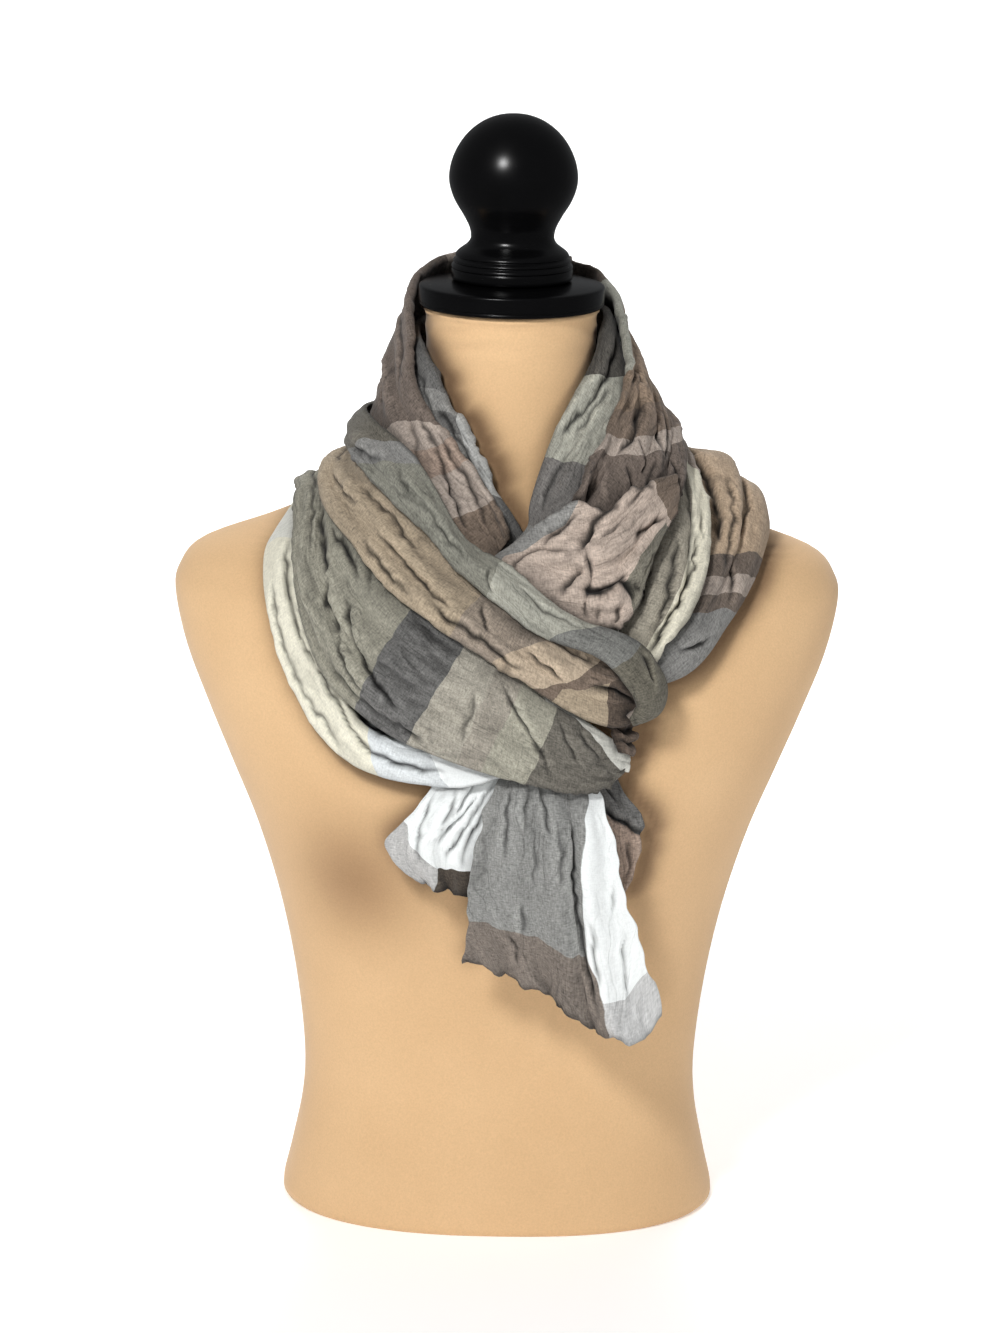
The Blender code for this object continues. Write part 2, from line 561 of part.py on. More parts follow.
def hang_hem(part, grid):
    """Let a free end hang below its last section, with the waves of its hem."""
    u = np.linspace(0, 1, grid.shape[0])[:, None]
    v = np.linspace(0, 1, grid.shape[1])[None, :]
    drop = np.interp(v, [row.across for row in part.hem], [row.drop for row in part.hem])
    near = ramp((u - HEM_BEGINS) / (1 - HEM_BEGINS))
    moved = grid.copy()
    moved[..., 2] -= drop * near
    moved[..., 1] += part.ruffle * near ** 2 * np.sin(v * 2 * math.pi * RUFFLE_WAVES + RUFFLE_START)
    return moved


def spread(values, passes, widen):
    """Blur a grid of offsets; with widen each pass first takes the largest neighbour."""
    for _ in range(passes):
        padded = np.pad(values, 1, mode="edge")
        around = np.stack([padded[i:i + values.shape[0], j:j + values.shape[1]]
                           for i in range(3) for j in range(3)])
        values = around.max(axis=0) if widen else around.mean(axis=0)
    return values


def refine(grid):
    """Rows of points set between the rows of a grid, on straight lines."""
    places = np.arange((len(grid) - 1) * BETWEEN + 1) / BETWEEN
    low = np.minimum(places.astype(int), len(grid) - 2)
    part = (places - low)[:, None, None]
    return grid[low] * (1 - part) + grid[low + 1] * part


def lift_needed(grid, beneath):
    """How far each grid point has to move out to clear what lies beneath; strongly negative over nothing."""
    rows, columns = grid.shape[:2]
    fine = refine(refine(grid).swapaxes(0, 1)).swapaxes(0, 1)
    way = way_out(fine)
    need = np.full(fine.shape[:2], -SEARCH)
    for row in range(fine.shape[0]):
        for column in range(fine.shape[1]):
            out = Vector(way[row, column])
            start = (Vector(fine[row, column]) + out * SEARCH) * MM
            for tree in beneath:
                hit = tree.ray_cast(start, -out, SEARCH * 2 * MM)
                if hit[0] is not None:
                    need[row, column] = max(need[row, column], SEARCH - hit[3] / MM)
    padded = np.pad(need + WALL / 2 + CLEAR, BETWEEN - 1, mode="edge")
    blocks = [padded[i:i + BETWEEN * rows:BETWEEN, j:j + BETWEEN * columns:BETWEEN][:rows, :columns]
              for i in range(2 * BETWEEN - 1) for j in range(2 * BETWEEN - 1)]
    return np.max(blocks, axis=0)


def lay(part, grid, turned_first, turned_last, beneath):
    """Move a stretch along the way out until it lies clear on what is beneath it."""
    last = grid.shape[1] - turned_last
    for attempt in range(PASSES):
        need = lift_needed(grid, beneath)
        need[:, turned_first] = need[:, :turned_first + 1].max(axis=1)
        need[:, last - 1] = need[:, last - 1:].max(axis=1)
        core = need[:, turned_first:last]
        if attempt == 0:
            offset = spread(spread(core, 1, True), 2, False)
            offset = np.maximum(np.maximum(offset, core), -part.cling)
            offset = np.maximum(spread(offset, 1, False), np.maximum(core, -part.cling))
        else:
            offset = np.maximum(core, 0)
            offset = np.maximum(spread(spread(offset, 1, True), 1, False), offset)
        full = np.concatenate([np.repeat(offset[:, :1], turned_first, 1), offset,
                               np.repeat(offset[:, -1:], turned_last, 1)], axis=1)
        way = way_out(grid)
        way[:, :turned_first] = way[:, turned_first:turned_first + 1]
        way[:, last:] = way[:, last - 1:last]
        grid = grid + way * full[..., None]
    return grid


def trim_ends(part, grid):
    """Draw an end of a stretch back by the seam gap where the turn goes on in another node."""
    grid = grid.copy()
    for end, nearest, row in ((0, 1, part.sections[0]), (-1, -2, part.sections[-1])):
        if tuple(row) in JOINED:
            grid[end] += unit(grid[nearest] - grid[end]) * SEAM
    return grid


def cloth(part, beneath):
    """One stretch of the scarf as a wall of cloth, laid on the pieces before it."""
    grid, turned_first, turned_last = band(part)
    grid = lay(part, grid, turned_first, turned_last, beneath)
    grid = trim_ends(part, grid)
    made = add_object(part.name, grid_mesh(part.name, grid), part.colour, CLOTH_ROUGH)
    wall = made.modifiers.new("Wall", "SOLIDIFY")
    wall.thickness = WALL * MM
    wall.offset = 0
    return made


def tree_of(made):
    """A search tree of a finished piece, with its modifiers."""
    bpy.context.view_layer.update()
    graph = bpy.context.evaluated_depsgraph_get()
    return BVHTree.FromObject(made, graph)


# ------------------------------------------------------------------ build
for old in list(bpy.data.objects):
    bpy.data.objects.remove(old, do_unlink=True)
PARTS = bpy.data.collections.new("wound_scarf_on_form")
bpy.context.scene.collection.children.link(PARTS)
JOINED = {BACK_INNER, BACK_COLLAR, BACK_SECOND, LEFT_SHOULDER}

TREES = [tree_of(form_body()),
         tree_of(turned("cap_disc", DISC)),
         tree_of(turned("cap_finial", FINIAL))]
for one in SCARF:
    TREES.append(tree_of(cloth(one, TREES)))
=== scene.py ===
"""Looks of a light crinkled scarf, wound twice round a limbless dress form.

The scarf's stretches follow the sections, folds and laying order of their solids, at the fineness of cloth:
each is read finely, creased, crinkled and settled on what lies beneath it.  Lengths are in millimetres.
"""
import math
from collections import namedtuple

import bpy
import numpy as np
from mathutils import Matrix, Vector
from mathutils.bvhtree import BVHTree
from mathutils.kdtree import KDTree


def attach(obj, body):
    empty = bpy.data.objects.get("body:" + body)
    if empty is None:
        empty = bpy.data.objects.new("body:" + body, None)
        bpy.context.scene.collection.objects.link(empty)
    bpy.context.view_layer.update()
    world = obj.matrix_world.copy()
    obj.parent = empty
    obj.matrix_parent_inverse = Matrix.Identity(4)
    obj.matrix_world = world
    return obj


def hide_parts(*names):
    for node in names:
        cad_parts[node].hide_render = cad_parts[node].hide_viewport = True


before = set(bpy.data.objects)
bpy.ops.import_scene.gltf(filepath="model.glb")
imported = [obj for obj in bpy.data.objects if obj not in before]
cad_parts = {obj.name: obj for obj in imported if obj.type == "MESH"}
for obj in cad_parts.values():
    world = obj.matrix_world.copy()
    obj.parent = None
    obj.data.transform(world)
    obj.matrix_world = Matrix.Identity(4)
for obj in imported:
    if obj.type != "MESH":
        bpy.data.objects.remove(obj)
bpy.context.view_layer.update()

# ------------------------------------------------------------------ sizes, millimetres
MM = 0.001
WALL = 1.2                 # thickness of the solid that a cloth stands for
CLEAR = 0.7                # gap from a solid's stretch to what it lies on
GAUZE = 0.45               # thickness of the cloth itself
STEP = 1.2                 # distance between the points of a finished cloth
AIR = 0.35                 # least gap from a finished cloth to what it lies on
REACH = 30.0               # how far out and in a finished cloth feels for what it lies on
EDGE_STEPS = 6             # steps in the turn of a folded edge
BLEND = 26.0               # length over which the two halves of one turn are eased into each other
MEASURES = 400             # places at which a stretch's length is measured
PASSES, FINE_PASSES = 5, 3         # times a solid's stretch and a finished cloth are tested and moved
LOFT = 1.8                 # how far a crinkled cloth stands out from its solid, so that its valleys have room
WANDER, WANDER_CELL = 1.7, 8.0     # how far a crease strays from its points, and over what length
TAPER, END_SLACK = 17.0, 1.5       # length over which a crease begins and ends, how far it runs past its end
LIP, HIGHEST_LIP, LIP_WIDTHS = 0.78, 3.0, 4.2      # lip beside a trough: share of its depth, most, reach
GENTLE_WIDTHS = 1.7        # how many widths the gentle side of a trough takes
CREASE_STEPS, FAR = 4, 1e3         # steps between a crease's points; further off than any crease
HEM_RAG, SIDE_RAG, HEM_CURL = 3.1, 2.0, 3.4        # how much a hem hangs unevenly, a side wavers, a hem curls
FINE_BLUR, BROAD_BLUR = 4, 26      # passes that part narrow and broad hollows from the form
BROAD_SHARE = 0.35         # how much broad hollows count beside narrow ones
CREASE_DARK, CRINKLE_DARK = 0.95, 0.42     # painted shade: how fast colour fades with each millimetre of a hollow's depth
DARKEST, LIGHTEST = 0.03, 1.22     # least and greatest share of its colour that cloth keeps, under painted shade in hollows and painted light on ridges
UNDERSIDE = 0.30           # painted shade: share of its colour that the underside of a folded edge keeps
HEM_LINE, HEM_REACH = 0.30, 3.2    # painted shade along a hem's curled edge: share of its colour that its very edge keeps, and how far it fades
CONTACT, CONTACT_REACH = 0.85, 2.6 # painted shadow: how much colour cloth loses right beside an edge over it, and how far
NEAR, NEAR_REACH = 0.28, 10.0      # and how much it loses to painted shadow further off
FORM_SHADE, FORM_REACH = 0.78, 9.0 # painted shadow: how much colour the form loses beside the cloth's sides, and how far
FORM_FALL = (6.0, 0.0, -2.5)       # how far beside and below a side that painted shadow lies
FORM_FLAT = (1.0, 0.22, 1.0)       # how much each axis counts in that distance
FADE = 0.25                # share of a fold over which it rises or dies away
HEM_BEGINS = 0.55          # share of a hanging end at which its hem begins to drop
FINE_RAG = 0.35            # how much finer rags add to a hem
CORNER_STEADY, CORNER_BEGINS, CORNER_LENGTH = 0.8, 0.9, 0.1    # how much steadier a side is near its corner
EDGE_CALM, EDGE_RISE = 0.4, 12     # share of the crinkle at a cloth's very edge, and how fast it rises
HEM_LINE_MEAN, HEM_LINE_SWING, HEM_LINE_CELL, HEM_LINE_LEAST = 0.9, 0.5, 5, 0.45   # how much of the painted shade along a hem shows, by place
RUFFLE_WAVES, RUFFLE_START = 4.5, 0.6      # waves along a hanging hem, and where the first begins, in radians
NOISE_CELLS, NOISE_HEIGHT = 128, 1.6       # cells before a noise repeats, and what brings it to about 1
TINY = 1e-9
# The way out from the form: a field that runs level from the neck, up from the shoulders and forward or back
# from the trunk, so that one layer laid along it never crosses the next.
NECK_FOOT, NECK_HEAD, NECK_RADIUS = 450.0, 640.0, 50.0
TRUNK_HALF, TRUNK_TOP, TRUNK_FALL, TRUNK_DEPTH = 110.0, 400.0, 0.3, 75.0
FIELD_BLEND, FIELD_LIFT = 25.0, 0.25
SEARCH = 120.0             # how far out and in from a stretch what it lies on is looked for
BETWEEN = 3                # places tested for each step of a stretch's grid

# The form's rings: height, half width, depth to the front and to the back, power of the oval.
FORM = [
    (0, 130, 88, 86, 2.4), (4, 132, 90, 88, 2.4), (26, 127, 88, 82, 2.4), (60, 120.5, 83, 73, 2.4),
    (92, 119.3, 81, 68, 2.4), (140, 124.5, 85, 70, 2.4), (188, 134, 95, 77, 2.3), (236, 148, 107, 85, 2.3),
    (276, 164, 113, 92, 2.25), (310, 178, 110, 96, 2.2), (345, 191, 101, 97, 2.2), (376, 197.5, 88, 92, 2.2),
    (391, 195, 80, 86, 2.15), (405, 183, 72, 78, 2.1), (419, 146, 64, 69, 2.0), (431, 117, 58, 62, 2.0),
    (443, 90, 54, 57, 2.0), (455, 68, 51, 53, 2.0), (467, 55, 50, 51, 2.0), (482, 50.5, 49, 50, 2.0),
    (510, 49.8, 49, 50, 2.0), (548.6, 50.2, 50, 50, 2.0)]

# The turned cap's outlines, with the steps that a lathe leaves: height and radius, from the top down.
FINIAL = [
    (661.0, 0.5), (660.0, 9.0), (656.5, 18.0), (650.0, 26.5), (641.0, 33.0), (631.0, 36.8), (621.0, 37.5),
    (611.0, 34.4), (602.0, 29.0), (595.0, 25.4), (590.0, 24.4), (587.4, 24.9), (585.0, 26.6), (583.0, 29.2),
    (581.2, 31.6), (579.6, 33.0), (578.5, 33.3), (577.9, 32.7), (577.2, 33.2), (576.2, 34.3), (575.2, 34.6),
    (574.5, 34.1), (573.8, 34.6), (572.8, 35.4), (571.7, 35.6), (571.0, 35.1), (570.3, 35.4), (569.2, 35.6),
    (566.2, 35.6), (565.0, 35.2), (564.2, 34.0)]
DISC = [
    (563.8, 34.0), (563.5, 38.0), (562.7, 46.0), (561.8, 51.6), (561.5, 52.9), (561.2, 53.7), (560.7, 54.3),
    (560.0, 54.5), (558.6, 54.5), (554.0, 54.5), (552.2, 54.5), (551.8, 54.1), (551.4, 54.1), (551.0, 54.4),
    (550.2, 54.3), (549.4, 53.7), (549.0, 52.6), (549.0, 51.0)]

# ------------------------------------------------------------------ the scarf's stretches
# A section gives the upper edge, the lower edge and how far the middle of the band stands out between them.
# A fold runs along a stretch: its place across the band (0 upper edge, 100 lower edge) where it begins and
# where it ends, its height (a trough is negative), its width, and the part of the length that it covers.
Fold = namedtuple("Fold", "across_start across_end height width begin finish")
# How an edge turns under: radius, degrees turned and the straight that follows.
Edge = namedtuple("Edge", "radius turn tuck")
SLIGHT, SOFT, ROUND = Edge(1.8, 90, 0), Edge(2.4, 90, 0), Edge(2.6, 130, 0)
DOUBLED, CURLED, RAW = Edge(2.6, 180, 12), Edge(2.4, 150, 0), Edge(0.0, 0, 0)
# A stretch's hem says how far the free end hangs below the last section at places across the band.
Stretch = namedtuple("Stretch", "name sections folds upper lower along across cling hem ruffle")


def stretch(name, sections, folds=(), upper=SOFT, lower=SOFT, along=20, across=7, cling=6.0,
            hem=(), ruffle=0.0):
    """One stretch of the scarf, its folds turned into named rows of shares."""
    folds = [Fold(first / 100, last / 100, height, width, begin / 100, finish / 100)
             for first, last, height, width, begin, finish in folds]
    return Stretch(name, sections, folds, upper, lower, along, across, cling, hem, ruffle)


BACK_INNER = (48, 34, 546, 60, 40, 508, 2)
BACK_COLLAR = (32, 60, 566, 38, 74, 486, 5)
BACK_SECOND = (4, 76, 484, 10, 92, 440, 6)
LEFT_SHOULDER = (-84, 26, 450, -125, 30, 419, 5)

SCARF = [
    stretch("inner_left", [
        (11, -73, 424, -10, -84, 402, 2), (2, -67, 440, -24, -78, 420, 2),
        (-10, -60, 456, -36, -72, 436, 2), (-21, -52, 476, -48, -62, 452, 3),
        (-33, -43, 497, -58, -50, 468, 3), (-41, -33, 516, -65, -34, 484, 3),
        (-51, -10, 531, -70, -8, 498, 3), (-50, 25, 537, -64, 30, 505, 3), (-30, 51, 540, -38, 58, 509, 2),
        (0, 60, 541, 0, 69, 509, 2), (28, 54, 543, 34, 62, 508, 2), BACK_INNER], [
        (45, 40, -1.6, 6, 0, 80), (75, 70, 1.6, 6, 10, 100)],
        upper=CURLED, along=18, across=4, cling=0),
    stretch("collar_left", [
        (1, -80, 426, -18, -94, 404, 3), (-5, -75, 440, -34, -90, 414, 3),
        (-13, -70, 452, -48, -83, 424, 4), (-24, -65, 466, -62, -75, 434, 5),
        (-35, -58, 481, -74, -63, 446, 5), (-44, -48, 494, -78, -50, 458, 5),
        (-51, -36, 510, -80, -32, 466, 5), (-53, -18, 533, -80, -8, 471, 5), (-55, 2, 551, -76, 14, 474, 5),
        (-52, 24, 563, -68, 36, 478, 5), (-43, 46, 570, -52, 58, 481, 5), (-22, 60, 573, -25, 73, 484, 5),
        (6, 64, 571, 8, 77, 486, 5), BACK_COLLAR], [
        (30, 26, -2.6, 6, 0, 62), (50, 46, 2.4, 6, 5, 70), (66, 62, -2.6, 6, 10, 60),
        (82, 80, 3.6, 9, 20, 65), (36, 50, -2.6, 7, 55, 100), (58, 72, 2.6, 7, 50, 100)],
        upper=DOUBLED, along=24, across=8, cling=0),
    stretch("inner_right", [
        BACK_INNER, (54, 14, 545, 70, 14, 506, 2), (53, -2, 543, 72, -8, 502, 3),
        (49, -15, 534, 73, -26, 494, 3), (45, -27, 520, 71, -44, 482, 3), (34, -42, 500, 63, -60, 467, 3),
        (26, -51, 484, 56, -70, 452, 3), (18, -60, 464, 48, -82, 438, 3), (13, -68, 446, 38, -90, 424, 3),
        (10, -79, 431, 24, -100, 408, 3), (-6, -90, 418, 2, -108, 398, 2)], [
        (30, 30, -1.8, 6, 25, 100), (62, 60, 2.0, 6, 30, 100)],
        upper=CURLED, along=16, across=5, cling=0),
    stretch("tail_back", [
        (44, -106, 304, 66, -104, 304, 2), (50, -109, 284, 74, -106, 281, 3),
        (54, -110, 262, 81, -105, 264, 3), (58, -109, 240, 81, -105, 245, 3),
        (62, -108, 226, 77, -106, 222, 2)], [
        (50, 50, -2.4, 6, 0, 100)],
        upper=RAW, lower=RAW, along=8, across=6, cling=0),
    stretch("tail_gusset", [
        (-34, -116, 302, 2, -114, 302, 2), (-44, -119, 286, -1, -118, 285, 3),
        (-55, -120, 271, -6, -120, 268, 3), (-67, -120, 257, -10, -121, 254, 3),
        (-63, -119, 245, -14, -120, 239, 3), (-50, -118, 232, -16, -119, 224, 2)], [
        (15, 22, -2.6, 5, 0, 100), (38, 42, 2.4, 5, 0, 100), (60, 62, -2.6, 5, 0, 100),
        (82, 82, 2.0, 5, 0, 100)],
        upper=RAW, lower=RAW, along=9, across=10, cling=0, ruffle=2.5),
    stretch("tail_panel", [
        (2, -119, 301, 46, -118, 302, 3), (-8, -127, 286, 56, -125, 284, 4),
        (-14, -130, 264, 65, -127, 258, 4), (-18, -130, 244, 68, -128, 240, 4),
        (-20, -128, 222, 73, -126, 222, 4), (-20, -126, 204, 80, -124, 202, 3),
        (-22, -124, 190, 88, -122, 180, 3), (-25, -122, 184, 99, -120, 160, 2)], [
        (14, 10, -2.6, 5, 0, 90), (30, 26, 2.4, 5, 0, 70), (44, 42, -3.0, 5, 0, 95),
        (58, 56, 2.4, 5, 0, 80), (72, 64, -4.0, 5, 0, 100), (80, 74, 3.4, 5, 0, 100),
        (92, 90, -2.0, 5, 10, 100)],
        upper=RAW, lower=RAW, along=12, across=18, cling=0, ruffle=3.0,
        hem=[(0.0, 0), (0.1, -4), (0.22, 2), (0.4, 6), (0.55, 18), (0.62, 21), (0.68, 14), (0.72, 26),
             (0.86, 28), (0.93, 14), (1.0, 2)]),
    stretch("front_cream", [
        (10, -122, 306, 0, -133, 289, 3), (-8, -122, 312, -14, -132, 290, 4),
        (-30, -119, 318, -36, -130, 291, 4), (-50, -116, 326, -60, -127, 293, 5),
        (-68, -111, 336, -84, -121, 299, 5), (-80, -105, 348, -104, -113, 313, 5),
        (-90, -98, 362, -117, -105, 329, 5), (-98, -88, 376, -129, -94, 350, 5),
        (-104, -78, 390, -136, -80, 370, 5), (-108, -64, 404, -140, -62, 390, 5),
        (-106, -48, 418, -139, -44, 406, 5), (-98, -30, 428, -131, -27, 416, 4),
        (-94, -10, 436, -124, -8, 424, 3), (-90, 10, 438, -121, 12, 422, 3),
        (-86, 30, 436, -106, 32, 422, 3)], [
        (35, 35, -2.2, 5, 5, 75), (62, 66, 2.0, 5, 10, 90)],
        upper=SLIGHT, along=22, across=5, cling=8),
    stretch("rear_turn", [
        (74, -104, 368, 84, -108, 346, 3), (86, -100, 384, 102, -104, 352, 4),
        (97, -90, 400, 116, -92, 362, 5), (104, -76, 416, 127, -78, 376, 7),
        (108, -58, 433, 137, -62, 388, 9), (108, -36, 450, 145, -44, 403, 11),
        (106, -14, 462, 151, -20, 417, 12), (101, 10, 467, 151, 6, 425, 12),
        (94, 34, 466, 143, 34, 422, 10), (78, 56, 460, 122, 62, 409, 8), (54, 72, 454, 92, 86, 394, 6),
        (26, 80, 450, 50, 97, 382, 6), (0, 83, 448, 6, 101, 376, 6), (-28, 80, 450, -42, 98, 378, 6),
        (-54, 70, 452, -82, 86, 390, 6), (-74, 50, 452, -106, 60, 406, 5), LEFT_SHOULDER], [
        (20, 20, -3.0, 7, 10, 60), (42, 36, 3.2, 7, 0, 55), (62, 58, -3.4, 7, 5, 70),
        (84, 80, 2.6, 7, 0, 60), (28, 40, 3.0, 8, 45, 100), (50, 60, -3.2, 8, 50, 100),
        (74, 80, 2.8, 8, 55, 100)],
        lower=ROUND, along=25, across=8, cling=3),
    stretch("shoulder_stripe", [
        (60, -110, 374, 84, -115, 362, 3), (58, -106, 390, 94, -112, 374, 4),
        (60, -98, 406, 106, -104, 388, 5), (66, -86, 424, 114, -92, 406, 6),
        (72, -70, 442, 118, -77, 424, 6), (78, -50, 460, 118, -58, 444, 6),
        (82, -26, 474, 112, -36, 460, 5), (82, -2, 480, 104, -8, 468, 4), (76, 22, 480, 104, 24, 458, 4),
        (62, 44, 478, 90, 52, 450, 5), (38, 66, 479, 56, 80, 442, 6), BACK_SECOND], [
        (28, 30, -2.4, 5, 5, 70), (55, 58, 2.6, 5, 0, 80), (78, 80, -2.6, 5, 5, 70),
        (50, 50, -2.6, 7, 60, 100)],
        lower=ROUND, along=20, across=7, cling=6),
    stretch("collar_right", [
        BACK_COLLAR, (49, 44, 561, 62, 58, 484, 3), (57, 23, 554, 81, 32, 476, 2),
        (58, 4, 547, 94, 6, 468, 2), (63, -14, 535, 99, -20, 460, 3), (65, -32, 515, 101, -44, 452, 4),
        (58, -49, 496, 100, -66, 440, 6), (52, -59, 480, 93, -84, 428, 6), (44, -69, 464, 84, -96, 414, 6),
        (36, -80, 448, 72, -106, 402, 5), (28, -90, 434, 56, -112, 390, 4)], [
        (16, 14, -2.8, 6, 20, 100), (30, 30, 2.6, 6, 15, 100), (45, 46, -3.0, 6, 20, 100),
        (60, 60, 2.8, 6, 20, 100), (74, 76, -3.0, 6, 20, 100), (88, 90, 2.4, 6, 25, 100),
        (52, 46, -2.6, 7, 0, 30), (75, 66, 2.4, 7, 0, 30)],
        upper=DOUBLED, along=18, across=12, cling=0),
    stretch("mauve_bunch", [
        (95, -62, 456, 96, -78, 438, 2), (82, -74, 456, 84, -94, 422, 4), (66, -83, 454, 78, -104, 404, 6),
        (52, -88, 450, 73, -112, 391, 7), (40, -88, 450, 58, -118, 382, 7),
        (28, -89, 446, 40, -117, 386, 6), (16, -91, 438, 22, -111, 396, 5), (4, -93, 428, 6, -106, 404, 4),
        (-6, -95, 420, -6, -104, 408, 3)], [
        (18, 30, -3.0, 6, 0, 90), (34, 50, 3.0, 6, 0, 100), (52, 62, -3.4, 6, 10, 90),
        (70, 74, 3.2, 6, 10, 100), (84, 88, -3.0, 6, 20, 70)],
        upper=ROUND, along=12, across=10, cling=6),
    stretch("front_wide", [
        LEFT_SHOULDER, (-88, 4, 448, -125, 6, 425, 4), (-90, -16, 444, -123, -18, 425, 4),
        (-90, -36, 439, -123, -39, 416, 5), (-88, -55, 433, -123, -58, 404, 6),
        (-82, -72, 428, -121, -76, 386, 8), (-72, -86, 420, -114, -91, 367, 9),
        (-60, -98, 410, -104, -103, 349, 10), (-46, -108, 400, -88, -114, 334, 10),
        (-30, -116, 392, -66, -124, 320, 10), (-14, -122, 382, -42, -131, 311, 9),
        (2, -126, 372, -16, -135, 303, 8), (18, -128, 354, 10, -136, 296, 7),
        (34, -128, 340, 34, -134, 291, 6), (50, -125, 328, 50, -129, 289, 5),
        (62, -119, 318, 61, -122, 291, 4), (71, -113, 309, 69, -115, 294, 3)], [
        (22, 30, 2.8, 7, 5, 60), (36, 40, -3.4, 7, 5, 75), (50, 52, 2.8, 7, 10, 80),
        (62, 66, -3.8, 7, 5, 80), (76, 80, 3.0, 7, 0, 90), (88, 92, -3.0, 6, 0, 60),
        (40, 22, 2.4, 8, 55, 100), (62, 50, -3.0, 8, 70, 100)],
        lower=ROUND, along=24, across=14, cling=3),
    stretch("knot_gathers", [
        (54, -115, 340, 76, -109, 338, 2), (58, -119, 328, 78, -114, 326, 3),
        (62, -120, 318, 77, -115, 316, 3), (65, -119, 310, 75, -114, 308, 2)], [
        (25, 30, -2.4, 4, 0, 100), (50, 52, 2.2, 4, 0, 100), (75, 74, -2.4, 4, 0, 100)],
        along=6, across=7, cling=4),
    stretch("front_middle", [
        (-66, 56, 462, -84, 62, 440, 3), (-80, 36, 464, -98, 42, 440, 4), (-85, 12, 466, -107, 14, 440, 4),
        (-85, -10, 465, -111, -12, 439, 5), (-81, -33, 462, -109, -36, 432, 5),
        (-74, -56, 458, -102, -57, 426, 6), (-62, -72, 450, -90, -73, 417, 6),
        (-50, -86, 440, -78, -88, 407, 6), (-36, -98, 428, -64, -102, 397, 6),
        (-22, -108, 416, -46, -116, 387, 6), (-6, -116, 404, -24, -128, 377, 6),
        (12, -122, 392, 0, -136, 363, 6), (30, -126, 384, 24, -138, 347, 6),
        (46, -128, 378, 48, -135, 333, 6), (60, -126, 370, 66, -128, 328, 5),
        (70, -120, 360, 77, -120, 331, 3)], [
        (25, 30, -2.8, 6, 5, 95), (45, 50, 2.8, 6, 10, 100), (66, 70, -3.2, 6, 15, 100),
        (84, 86, 2.4, 6, 10, 90)],
        lower=ROUND, along=24, across=8, cling=8),
    stretch("front_upper", [
        BACK_SECOND, (-26, 74, 489, -32, 91, 443, 6), (-56, 60, 488, -72, 76, 448, 6),
        (-74, 40, 486, -94, 50, 454, 5), (-80, 16, 486, -97, 18, 462, 4), (-82, -6, 484, -96, -14, 465, 3),
        (-78, -25, 481, -92, -36, 461, 3), (-69, -42, 476, -83, -57, 455, 3),
        (-56, -60, 469, -72, -74, 447, 4), (-46, -76, 461, -58, -88, 439, 4),
        (-37, -88, 448, -44, -99, 431, 3), (-29, -96, 436, -31, -109, 418, 4),
        (-18, -103, 427, -17, -117, 406, 4), (-2, -110, 420, 0, -124, 394, 5),
        (16, -118, 406, 16, -129, 383, 5), (34, -124, 394, 32, -133, 377, 4),
        (52, -127, 387, 46, -134, 373, 3), (68, -127, 383, 57, -133, 367, 3),
        (81, -124, 372, 65, -129, 357, 4), (91, -118, 356, 71, -124, 347, 4),
        (93, -113, 342, 75, -119, 340, 4), (86, -109, 331, 74, -115, 333, 3),
        (74, -107, 327, 70, -113, 329, 2)], [
        (30, 32, -2.2, 5, 25, 80), (55, 60, 2.4, 5, 20, 95), (80, 78, -2.2, 5, 25, 90),
        (35, 40, 2.6, 7, 0, 35), (62, 65, -2.8, 7, 0, 35)],
        upper=SOFT, lower=ROUND, along=34, across=6, cling=8),
]

# A listed crease or ridge: its height (a trough is negative), its width and the points that it runs
# through, along and across the band.
Crease = namedtuple("Crease", "height width path")
# How a stretch is finished: the height of its crinkle, the seed of its noise, its creases, how ragged its
# hanging side edges are, the part of its width that is left (along, first, last) and how much lower its hem
# hangs in places (across, drop).  Points and places are in hundredths of the band.
Look = namedtuple("Look", "crinkle seed creases rag trim hang")
# A stripe that runs along a cloth beside one edge: side (1 lower, -1 upper), its inner edge as points along
# and across, and its own bands (start along, yarn).
Stripe = namedtuple("Stripe", "side edge bands")
# One finished cloth: the stretches that it runs through, its bands across (start along, yarn), its stripe,
# how much further along each band's edge lies at the lower side than at the upper, its cut size in metres and
# how it is held.  Bands, stripes and slants are in thousandths of the cloth.
Cloth = namedtuple("Cloth", "name parts seed bands stripe slant flat held rests_on")


def look(crinkle, seed, creases, rag=1.0, trim=((0, 0, 100), (100, 0, 100)), hang=((0, 0.0), (100, 0.0))):
    """How one stretch is finished, its creases turned into named rows of shares."""
    creases = [Crease(row[0], row[1], np.reshape(row[2:], (-1, 2)) / 100) for row in creases]
    return Look(crinkle, seed, creases, rag, np.array(trim) / 100, hang)


def in_shares(rows):
    """Rows of thousandths turned into one row of shares for each column."""
    return np.array(rows).T / 1000


def bands_in_shares(rows):
    """Bands that start at thousandths of the cloth, with their starts as shares."""
    return [(start / 1000, yarn) for start, yarn in rows]


def woven(name, parts, seed, bands, stripe, slant, flat, held, rests_on):
    """One finished cloth, its bands, stripe and slant turned into shares."""
    if stripe:
        stripe = Stripe(stripe.side, in_shares(stripe.edge), bands_in_shares(stripe.bands))
    return Cloth(name, parts, seed, bands_in_shares(bands), stripe, in_shares(slant), flat, held, rests_on)


